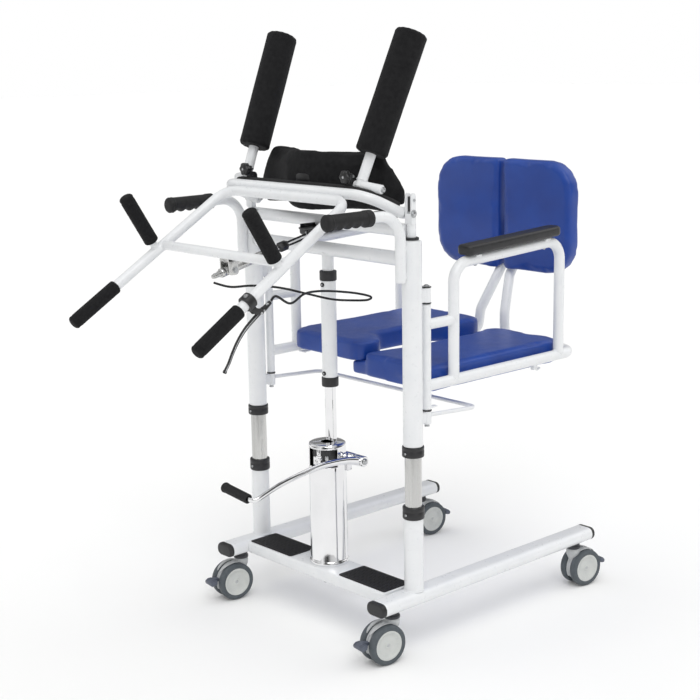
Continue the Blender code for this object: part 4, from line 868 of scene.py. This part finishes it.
def build_seat_frame(name, side):
    x = POST_X
    body = "seat_" + name
    seat = Shape(side)
    seat.lathe([(0.0056, 0.8522), (0.0095, 0.8522), (0.0105, 0.8512), (0.0105, 0.5998), (0.0095, 0.5988),
                (0.0056, 0.5988), (0.0056, 0.8522)], (x, 0.0475, 0), steps=36)
    hoop = rounded_path([(x, 0.14, 0.655), (x, 0.14, 0.936), (x, 0.532, 0.955), (x, 0.532, 0.655)], 0.048, 12)
    seat.tube(hoop, 0.0135, 0, 34)
    rail = rounded_path([(x, 0.05, 0.655), (x, 0.598, 0.655), (0.05, 0.598, 0.655), *back_tube_path()], 0.045, 10)
    seat.tube(rail, 0.0135, 0, 34, ends=0.004)
    seat.tube([(x, 0.05, 0.803), (x, 0.14, 0.803)], 0.0128, 0, 32)
    seat.weld((x, 0.14, 0.803), (0, 0, 1), (0, -1, 0), 0.0135, 0.0128, 0.0016)
    for h in (0.655, 0.803):
        seat.weld((x, 0.0475, h), (0, 0, 1), (0, 1, 0), 0.0105, 0.0104, 0.0018)
    for y in (0.14, 0.532):
        seat.weld((x, y, 0.655), (0, 1, 0), (0, 0, 1), 0.0135, 0.0134, 0.0018)
    # armrest screws' clips and the brackets under the seat board
    for y in (0.215, 0.47):
        h = 0.936 + 0.019 * (y - 0.14) / 0.392
        seat.box((x - 0.015, y - 0.009, h + 0.007), (x + 0.015, y + 0.009, h + 0.0132), 0.0018, 0)
        seat.screw((x, y, h - 0.0133), (0, 0, -1), 0.0042, 2)
    for y in (0.15, 0.33, 0.52):
        seat.box((x - 0.03, y - 0.012, 0.6405), (x - 0.01, y + 0.012, 0.6435), 0.0008, 0)
        seat.screw((x - 0.0225, y, 0.6405), (0, 0, -1), 0.004, 2)
    if side > 0:
        seat.box((0.274, 0.443, 0.626), (0.286, 0.459, 0.643), 0.0025, 0)
        seat.tube([(0.28, 0.452, 0.63), (0.28, 0.462, 0.624), (0.28, 0.474, 0.6275)], 0.003, 0, 14, ends=0.002)
        seat.box((0.286, 0.056, 0.6), (0.298, 0.078, 0.6035), 0.0008, 0)
    seat.done(name + "_seat_tubes", body, [WHITE, BLACK, ZINC], [name + "_seat_frame"])

    rise = math.atan(0.019 / 0.392)
    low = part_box(name + "_armrest_pad")[0]
    length = 0.345
    pad = Shape(side)
    outline = rounded_box(-0.0238, 0.0, 0.0238, length, 0.015, 0.018, 8)
    lay = Matrix.Translation((x, 0.172, low.z + 0.0003)) @ Matrix.Rotation(rise, 4, "X")
    pad.plate(outline, 0.0, 0.0242, 0.0072, 0, lay, 6)
    for v in pad.bm.verts:
        local = lay.inverted() @ v.co
        if local.z > 0.012:
            v.co.z += 0.0008 * math.cos(local.x / 0.0238 * math.pi / 2)
    pad.done(name + "_armrest", body, [BLACK], [name + "_armrest_pad"])


# ---- padded pieces -----------------------------------------------------------------------------------------
def node_copy(name, node):
    """A CAD node's shape as a new object."""
    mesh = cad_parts[node].data.copy()
    mesh.materials.clear()
    bm = bmesh.new()
    bm.from_mesh(mesh)
    bmesh.ops.remove_doubles(bm, verts=bm.verts, dist=0.00005)
    bmesh.ops.recalc_face_normals(bm, faces=bm.faces)
    bm.to_mesh(mesh)
    bm.free()
    return link(name, mesh)


def apply_modifiers(obj):
    bpy.context.view_layer.update()
    mesh = bpy.data.meshes.new_from_object(obj.evaluated_get(bpy.context.evaluated_depsgraph_get()))
    obj.modifiers.clear()
    obj.data = mesh


def relax(mesh, rounds, factor=0.5):
    """Plain smoothing, which rounds a remeshed block's rims."""
    bm = bmesh.new()
    bm.from_mesh(mesh)
    for _ in range(rounds):
        bmesh.ops.smooth_vert(bm, verts=bm.verts, factor=factor, use_axis_x=True, use_axis_y=True, use_axis_z=True)
    bm.to_mesh(mesh)
    bm.free()


CLOTH_PRESSURE, CLOTH_FRAMES = 4.0, 20


def inflate(obj, voxel, rounds, cap, flat=None):
    """Round a remeshed copy's rims, then swell it as cloth under pressure, with every point's move capped.

    flat is (axis, value, sign): points beyond that plane are put back on it, where the pad rests on its board."""
    low, high = [Vector(c) for c in bounds_of(obj)]
    remesh = obj.modifiers.new("remesh", "REMESH")
    remesh.mode, remesh.voxel_size = "VOXEL", voxel
    apply_modifiers(obj)
    relax(obj.data, rounds)
    rest = [v.co.copy() for v in obj.data.vertices]
    cloth = obj.modifiers.new("cloth", "CLOTH")
    settings = cloth.settings
    settings.quality = 5
    settings.use_pressure = True
    settings.uniform_pressure_force = CLOTH_PRESSURE
    settings.effector_weights.gravity = 0
    settings.tension_stiffness = settings.compression_stiffness = 22
    settings.bending_stiffness = 3.0
    scene.frame_start, scene.frame_end = 1, CLOTH_FRAMES
    for number in range(1, CLOTH_FRAMES + 1):
        scene.frame_set(number)
    apply_modifiers(obj)
    scene.frame_set(1)
    for vert, start in zip(obj.data.vertices, rest):
        move = vert.co - start
        if move.length > cap:
            vert.co = start + move * (cap / move.length)
        if flat is not None:
            axis, value, sign = flat
            if (vert.co[axis] - value) * sign > 0:
                vert.co[axis] = value
    keep_inside(obj.data, low, high)
    relax(obj.data, 2, 0.4)
    subdivide = obj.modifiers.new("subdivide", "SUBSURF")
    subdivide.levels = subdivide.render_levels = 1
    apply_modifiers(obj)
    obj.data.shade_smooth()


def bounds_of(obj):
    corners = [v.co for v in obj.data.vertices]
    return ([min(c[i] for c in corners) for i in range(3)], [max(c[i] for c in corners) for i in range(3)])


def keep_inside(mesh, low, high):
    """Hold a swollen pad within a few millimetres of the box of the solid that it replaces."""
    spare = 0.004
    for vert in mesh.vertices:
        for i in range(3):
            vert.co[i] = min(max(vert.co[i], low[i] - spare), high[i] + spare)


def cushion(name, node, body, mat, slot, voxel=0.005, rounds=5, cap=0.006, flat=None):
    obj = node_copy(name, node)
    inflate(obj, voxel, rounds, cap, flat)
    obj.data.materials.append(mat)
    keep(obj, body, [node], slot)


def build_padding():
    for name, _ in SIDES:
        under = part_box(name + "_seat_cushion")[0].z + 0.0005
        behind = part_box(name + "_back_cushion")[1].y - 0.0005
        for part, flat in (("seat", (2, under, -1)), ("back", (1, behind, 1))):
            cushion(f"{name}_{part}_pad", f"{name}_{part}_cushion", "seat_" + name, BLUE, "blue_vinyl", flat=flat)
    cushion("chest_cushion", "chest_pad", "tilt_frame", FABRIC, "black_foam", voxel=0.006, rounds=6, cap=0.01)


# ---- tilt frame --------------------------------------------------------------------------------------------
def build_tilt_frame():
    y, z = HINGE_YZ
    tilt = Shape()
    end = on_long_bar(LONG_GRIP_END.y + 0.012)
    bar = LONG_BAR_TOP
    tilt.tube(rounded_path([mirrored(-1, end), mirrored(-1, bar), bar, end], 0.045, 14), TILT_R, 0, 34)
    ear = Vector((0.267, y - 0.004, z))
    corner = Vector((0.262, HINGE_BAR[0], HINGE_BAR[1]))
    tilt.tube(rounded_path([mirrored(-1, ear), mirrored(-1, corner), corner, ear], 0.055, 14), TILT_R, 0, 34)
    tilt.tube([(-TIE.x, TIE.y, TIE.z), TIE], 0.0112, 0, 32)
    for s in (-1, 1):
        tilt.weld(mirrored(s, TIE), mirrored(s, LONG_DIR), (-s, 0, 0), TILT_R, 0.0114, 0.0016)
        foot = mirrored(s, on_long_bar(-0.343))
        tilt.tube([foot, foot + BAR_NORMAL * 0.145], 0.009, 0, 28)
        tilt.weld(foot, mirrored(s, LONG_DIR), BAR_NORMAL, TILT_R, 0.0092, 0.0015)
        tilt.lathe([(0.0064, 0.007), (0.012, 0.007), (0.0135, 0.0058), (0.0135, -0.0058), (0.012, -0.007),
                    (0.0064, -0.007), (0.0064, 0.007)], (s * 0.267, y, z), (1, 0, 0), 0, 40)
        # the welded lugs of the arm's pivot and of its clamp knob, and the web between the cross tubes
        py, pz = ARM_PIVOT.y, ARM_PIVOT.z
        outline = rounded_box(py - 0.0115, 1.1082, py + 0.0115, pz + 0.0115, 0.002, 0.01, 6)
        low, high = sorted((s * 0.1796, s * 0.1859))
        tilt.plate(outline, low, high, 0.0007, 3, SIDEWAYS, 2)
        kx = s * KNOB.x
        tilt.box((kx - 0.0078, -0.0942, 1.109), (kx + 0.0078, -0.0872, 1.161), 0.0022, 3)
        tilt.box((kx - 0.0076, -0.112, 1.109), (kx + 0.0076, -0.0874, 1.1236), 0.0012, 3)
    tilt.box((-0.0178, -0.112, HINGE_BAR[1] - 0.0088), (0.0178, -0.0768, HINGE_BAR[1] + 0.0088), 0.0012, 0)
    # bracket of the gas spring under the tie bar
    gy, gz = GAS_FOOT.y, GAS_FOOT.z
    side_plate = round_corners([(gy - 0.019, TIE.z + 0.001, 0.004), (gy - 0.017, gz - 0.012, 0.008),
                                (gy + 0.013, gz - 0.012, 0.009), (gy + 0.004, TIE.z + 0.001, 0.004)], 6)
    for low in (-0.0168, 0.0137):
        tilt.plate(side_plate, low, low + 0.0031, 0.0006, 1, SIDEWAYS, 2)
    tilt.box((-0.0168, gy - 0.019, gz + 0.019), (0.0168, gy + 0.006, TIE.z + 0.001), 0.0012, 1)
    for s in (-1, 1):
        tilt.bolt((s * 0.0168, gy, gz), (s, 0, 0), 0.0052, 0.004, 2)
    tilt.done("tilt_tubes", "tilt_frame", [WHITE, STEEL, ZINC, BLACK], ["tilt_frame"])

    for name, side in SIDES:
        start = LONG_GRIP_END - LONG_DIR * 0.1425
        grip(name + "_long_hand_grip", "tilt_frame", name + "_long_grip", side, start, LONG_GRIP_END, 0.0168, FOAM)
        foot = on_long_bar(-0.343)
        grip(name + "_short_hand_grip", "tilt_frame", name + "_short_grip", side, foot + BAR_NORMAL * 0.026,
             foot + BAR_NORMAL * 0.16, 0.0175, FOAM, knurl=0.0007)


def chest_line(x, z, out):
    """A point in front of the chest pad's bowed face, out metres off it."""
    share = min(abs(x) / 0.19, 1)
    bow = 0.064 * (3 * share ** 2 - 2 * share ** 3)
    return Vector((x, -0.0762 + bow + 0.26 * max(abs(x) - 0.19, 0) - out, z))


def build_chest_trim():
    """The pad's glossy lower band and the black edge strip that follows the cross tubes."""
    band = Shape()
    rings, middle, count = [], 1.133, 48
    for i in range(count + 1):
        x = -0.176 + 0.352 * i / count
        half = 0.017 * min(1, 0.45 + 0.55 * min(i, count - i) / 4)
        rings.append([chest_line(x, middle + dz, out) for dz, out in (
            (-half, -0.004), (-half, 0.0002), (-half * 0.8, 0.0014), (0, 0.002), (half * 0.8, 0.0014),
            (half, 0.0002), (half, -0.004))])
    band.skin(rings, 0)
    band.done("chest_pad_band", "tilt_frame", [GLOSSY_BLACK], slot="black_foam")
    for name, side in SIDES:
        strip = Shape(side)
        line = smooth_curve([(-0.006, -0.102, 1.1285), (0.05, -0.102, 1.1285), (0.11, -0.102, 1.1285),
                             (0.17, -0.102, 1.1282), (0.212, -0.099, 1.126), (0.24, -0.084, 1.119),
                             (0.256, -0.062, 1.109), (0.264, -0.036, 1.0975), (0.2668, -0.014, 1.086)], 8)
        strip.tube(line, 0.0068, 0, 20, ends=0.004, flat=0.6, up=(0, 0, 1))
        strip.done(name + "_edge_strip", "tilt_frame", [RUBBER])


def build_arm(name, side):
    pivot, foot, top = ARM_PIVOT, ROLLER_FOOT, ROLLER_TOP
    body = "arm_" + name
    along = (top - foot).normalized()
    arm = Shape(side)
    arm.tube([pivot - along * 0.004, foot, top - along * 0.021], 0.0125, 0, 32)
    outer = Vector((0.264, -0.064, 1.126))
    arm.tube([pivot + Vector((-0.015, 0, 0)), pivot, pivot + Vector((0.01, 0.002, -0.001)), outer], 0.0108, 0, 32,
             ends=0.0015)
    aim = outer - pivot - Vector((0.01, 0.002, -0.001))
    arm.lathe([(0, 0.0075), (0.003, 0.0073), (0.0058, 0.0055), (0.0062, 0.0005), (0.0062, -0.002), (0, -0.002)],
              outer, aim, 1, 28)
    arm.tube([pivot + Vector((-0.03, 0, 0)), pivot + Vector((-0.012, 0, 0))], 0.004, 1, 20)
    arm.ring(pivot + along * 0.0125, along, 0.0127, 0.0015)
    arm.done(name + "_arm_stem", body, [WHITE, ZINC], [name + "_arm_tube"])

    roller = Shape(side)
    length, radius, edge = (top - foot).length, 0.038, 0.0085
    turn = Matrix.Translation(foot) @ facing(along)
    rings = []
    for i in range(97):
        t = i / 96
        h = length * (t if 24 <= i <= 72 else 0.5 - 0.5 * math.cos(t * math.pi))
        size = radius
        for gap in (h, length - h):
            if gap < edge:
                size = min(size, radius - edge + math.sqrt(max(edge ** 2 - (edge - gap) ** 2, 0)))
        ring = []
        for a in around(64):
            fold = 0.0003 * math.sin(2 * a + h * 21) * math.sin(h / length * math.pi)
            pucker = 0.0008 * math.cos(14 * a) * math.exp(-(min(h, length - h) / 0.012) ** 2)
            stitch = -0.0009 * math.exp(-((a - 2.2) / 0.045) ** 2) * (0.6 + 0.4 * math.sin(h * 900))
            r = max(size + fold + pucker + stitch, 0.014)
            ring.append(turn @ Vector((r * math.cos(a), r * math.sin(a), h)))
        rings.append(ring)
    roller.skin(rings, 0)
    cap = [(0, length - 0.0004), (0.012, length - 0.0004), (0.015, length - 0.0012), (0.016, length - 0.004)]
    roller.lathe(cap, foot, along, 0, 40)
    pad = roller.done(name + "_arm_pad", body, [FABRIC], [name + "_arm_roller"], angle=70)

    knob = Shape(side)
    at = KNOB
    turn = Matrix.Translation(at) @ facing((0, -1, 0))
    rings = []
    for h, scale in ((0.003, 0.78), (0.004, 0.94), (0.006, 1.0), (0.0125, 1.0), (0.015, 0.93), (0.0168, 0.74),
                     (0.0176, 0.4)):
        rings.append([turn @ Vector((r * math.cos(a), r * math.sin(a), h)) for a, r in (
            (a, scale * (0.0152 + 0.0013 * math.cos(6 * a))) for a in around(72))])
    knob.skin(rings, 0)
    knob.lathe([(0, 0.0186), (0.0022, 0.0184), (0.003, 0.0176), (0.003, 0.016), (0, 0.016)], at, (0, -1, 0), 1, 24)
    knob.lathe([(0, 0.004), (0.0078, 0.004), (0.0082, 0.003), (0.0082, 0.0008), (0.007, 0.0003), (0.004, 0.0003),
                (0.004, -0.015), (0, -0.015)], at, (0, -1, 0), 1, 32)
    knob.done(name + "_clamp_knob", "knob_" + name, [GLOSSY_BLACK, ZINC], [name + "_arm_knob"])


# ---- gas spring and release lever --------------------------------------------------------------------------
def build_gas_spring():
    up = (GAS_TOP - GAS_FOOT).normalized()
    cylinder = Shape()
    cylinder.lathe([(0.005, 0.118), (0.0075, 0.118), (0.01, 0.1168), (0.011, 0.115), (0.011, -0.018),
                    (0.0104, -0.019), (0.0104, -0.0205), (0.011, -0.0215), (0.011, -0.03), (0.0098, -0.0315),
                    (0.0072, -0.0318), (0.0072, -0.038), (0.0062, -0.039), (0.0062, -0.05), (0.0048, -0.0512),
                    (0.0048, -0.0545), (0.0038, -0.0555), (0, -0.0558)], GAS_FOOT, up, 0, 44)
    cylinder.lathe([(0, 0.0162), (0.004, 0.0162), (0.004, -0.0162), (0, -0.0162)], GAS_FOOT, (1, 0, 0), 1, 28)
    cylinder.lathe([(0.0108, 0.109), (0.01125, 0.1086), (0.01125, 0.1064), (0.0108, 0.106)], GAS_FOOT, up, 1, 40)
    cylinder.done("gas_spring_barrel", "gas_cylinder", [STEEL, ZINC], ["gas_spring_cylinder"])

    rod = Shape()
    rod.lathe([(0, 0.152), (0.0055, 0.152), (0.0055, 0.05), (0, 0.05)], GAS_FOOT, up, 1, 32)
    rod.lathe([(0, 0.1745), (0.0105, 0.1745), (0.0122, 0.1725), (0.0122, 0.1505), (0.0105, 0.1485), (0, 0.1485)],
              GAS_FOOT, up, 0, 6, soft=False)
    for s in (-1, 1):
        offset = Vector((0.0125 * s, 0, 0))
        rod.tube(smooth_curve([GAS_FOOT + up * 0.16 + offset * 0.45, GAS_FOOT + up * 0.176 + offset * 0.85,
                               GAS_FOOT + up * 0.19 + offset, GAS_TOP - up * 0.006 + offset], 6), 0.0024, 0, 20)
        rod.lathe([(0.006, 0.0033), (0.0084, 0.0033), (0.0092, 0.0025), (0.0092, -0.0025), (0.0084, -0.0033),
                   (0.006, -0.0033), (0.006, 0.0033)], GAS_TOP + offset, (1, 0, 0), 2, 32)
    rod.done("gas_spring_fork", "gas_rod", [DARK_METAL, CHROME, ZINC], ["gas_spring_rod"])


def build_release():
    """The clamp that carries the release lever, and the curved blade that the hand squeezes."""
    along, down = -LONG_DIR, -BAR_NORMAL
    clamp = Shape()
    clamp.lathe([(0.0131, 0.0108), (0.0172, 0.0108), (0.0184, 0.0096), (0.0184, -0.0096), (0.0172, -0.0108),
                 (0.0131, -0.0108), (0.0131, 0.0108)], CLAMP, along, 0, 44)
    for s in (-1, 1):
        wall = Vector((0.0058 * s, 0, 0))
        clamp.tube([CLAMP + down * 0.015 + wall, CLAMP + down * 0.028 + along * 0.003 + wall,
                    LEVER_PIVOT + along * 0.004 + wall, LEVER_PIVOT + along * 0.01 + wall * 0.8],
                   [0.0068, 0.0072, 0.0064, 0.005], 0, 20, ends=0.002, flat=0.42, up=(0, 1, 0))
    clamp.tube([CLAMP + down * 0.014, CLAMP + down * 0.024 + along * 0.004], 0.0066, 0, 20)
    clamp.tube([LEVER_PIVOT + along * 0.0095, LEVER_PIVOT + along * 0.016 + down * 0.001,
                LEVER_PIVOT + along * 0.0365], [0.0066, 0.006, 0.005], 0, 24, ends=0.0015)
    clamp.lathe([(0, 0.0385), (0.0036, 0.0385), (0.0044, 0.0375), (0.0044, 0.03), (0.0052, 0.029),
                 (0.0052, 0.023), (0, 0.023)], LEVER_PIVOT, along, 1, 28)
    for place, size in ((LEVER_PIVOT, 0.0036), (LEVER_PIVOT + down * 0.0005 + along * 0.0085, 0.003)):
        clamp.lathe([(0, 0.0094), (size * 0.7, 0.0092), (size, 0.0078), (size, -0.0078), (size * 0.7, -0.0092),
                     (0, -0.0094)], place, (1, 0, 0), 1, 24)
    clamp.bolt(CLAMP + BAR_NORMAL * 0.0172 + Vector((0.0045, 0, 0)), BAR_NORMAL, 0.0042, 0.0036, 1)
    clamp.lathe([(0, 0.006), (0.004, 0.0052), (0.006, 0.0025), (0.0062, 0), (0, 0)],
                CLAMP - Vector((0.0165, 0, 0)), (-1, 0, 0), 0, 28)
    clamp.done("release_clamp", "tilt_frame", [BLACK, ZINC], ["lever_clamp"])

    blade = Shape()
    x = LEVER_PIVOT.x
    line = smooth_curve([LEVER_PIVOT + Vector((0, 0.006, 0.003)), LEVER_PIVOT,
                         LEVER_PIVOT + Vector((0, -0.02, -0.014)), Vector((x, -0.447, 0.856)),
                         Vector((x, -0.466, 0.835)), Vector((x, -0.482, 0.811)), Vector((x, -0.494, 0.789)),
                         Vector((x, -0.5035, 0.7755)), Vector((x, -0.507, 0.769))], 6)
    count = len(line) - 1
    sizes = [0.0062 - 0.002 * math.sin(min(i / count, 1) * math.pi * 0.5) + 0.001 * (i > count - 6) for i in
             range(count + 1)]
    blade.tube(line, sizes, 0, 24, ends=0.002, flat=0.5, up=(0, 1, 0))
    edge = [p + Vector((0.0022, 0, 0)) for p in line[8:-3]]
    blade.tube(edge, 0.0009, 1, 10, ends=0.0006)
    blade.done("release_blade", "release_lever", [BLACK, ZINC], ["release_lever"])


build_mast()
for seat_side, seat_sign in SIDES:
    build_seat_frame(seat_side, seat_sign)
build_tilt_frame()
build_padding()
build_chest_trim()
for arm_side, arm_sign in SIDES:
    build_arm(arm_side, arm_sign)
build_gas_spring()
build_release()


# ---- room and light ----------------------------------------------------------------------------------------
def build_room():
    floor = Shape()
    outline = rounded_box(-40, -40, 40, 40, 5, 5, 8)
    floor.skin([[Vector((*p, z)) for p in outline] for z in (-0.02, 0.0)])
    mesh = bpy.data.meshes.new("studio_floor")
    floor.bm.to_mesh(mesh)
    floor.bm.free()
    mesh.shade_flat()
    pale = make_material("studio_floor", (0.93, 0.93, 0.925), (0.92, 0.92, 0.915), 0.75, mottle=2)
    shader = pale.node_tree.nodes["Principled BSDF"]
    shader.inputs["Emission Color"].default_value = (1, 1, 1, 1)
    shader.inputs["Emission Strength"].default_value = FLOOR_GLOW
    shader.inputs["Specular IOR Level"].default_value = 0.0
    mesh.materials.append(pale)
    link("studio_floor", mesh)

    world = bpy.data.worlds.new("studio")
    world.use_nodes = True
    scene.world = world
    nodes, links = world.node_tree.nodes, world.node_tree.links
    nodes.clear()

    def add(kind, sources=(), **values):
        made = nodes.new("ShaderNode" + kind)
        for socket, value in values.items():
            made.inputs[socket.replace("_", " ")].default_value = value
        for socket, source in sources:
            links.new(source, made.inputs[socket])
        return made

    coords = add("TexCoord")
    split = add("SeparateXYZ", [("Vector", coords.outputs["Generated"])])
    angle = add("Math", [(0, split.outputs["Y"]), (1, split.outputs["X"])])
    angle.operation = "ARCTAN2"
    share = add("MapRange", [("Value", angle.outputs["Value"])], From_Min=-math.pi, From_Max=math.pi)
    bands = add("ValToRGB", [("Fac", share.outputs["Result"])])
    ramp = bands.color_ramp
    ramp.elements[0].position, ramp.elements[1].position = REFLECTED_BANDS[0][0], REFLECTED_BANDS[1][0]
    for _ in REFLECTED_BANDS[2:]:
        ramp.elements.new(0.5)
    for element, (place, level) in zip(list(ramp.elements), REFLECTED_BANDS):
        element.position = place
        element.color = (level, level, level, 1)
    path = add("LightPath")
    plain = add("Background", Color=(1, 1, 1, 1), Strength=WORLD_LEVEL)
    banded = add("Background", [("Color", bands.outputs["Color"])], Strength=1.0)
    seen = add("Background", Color=(1, 1, 1, 1), Strength=1.0)
    mix = add("MixShader", [("Fac", path.outputs["Is Glossy Ray"]), (1, plain.outputs["Background"]),
                            (2, banded.outputs["Background"])])
    final = add("MixShader", [("Fac", path.outputs["Is Camera Ray"]), (1, mix.outputs["Shader"]),
                              (2, seen.outputs["Background"])])
    add("OutputWorld", [("Surface", final.outputs["Shader"])])


WORLD_LEVEL, FLOOR_GLOW = 0.5, 0.03
# where a band of the studio that the chrome reflects starts, as a share of a turn, and its level
REFLECTED_BANDS = ((0.0, 0.3), (0.06, 0.55), (0.1, 0.1), (0.15, 0.06), (0.2, 0.55), (0.27, 0.95), (0.31, 0.12),
                   (0.36, 0.05), (0.41, 0.6), (0.5, 0.75), (0.56, 0.1), (0.64, 0.06), (0.72, 0.7), (0.86, 0.25))
LAMPS = (       # name, where its rays come from, strength and spread in degrees
    ("key", (3.0, -2.0, 4.2), 1.05, 40),
    ("fill", (-3.2, -2.4, 2.6), 0.4, 60),
    ("rim", (1.4, 3.4, 2.6), 0.45, 50),
    ("top", (0.3, 0.0, 5.0), 0.55, 70),
)


def build_lamps():
    for name, place, power, spread in LAMPS:
        data = bpy.data.lights.new(name, "SUN")
        data.energy, data.angle = power, math.radians(spread)
        lamp = link(name, data)
        lamp.location = place
        lamp.rotation_mode = "QUATERNION"
        lamp.rotation_quaternion = (-Vector(place)).to_track_quat("-Z", "Y")


build_room()
build_lamps()
scene.view_settings.view_transform = "Standard"
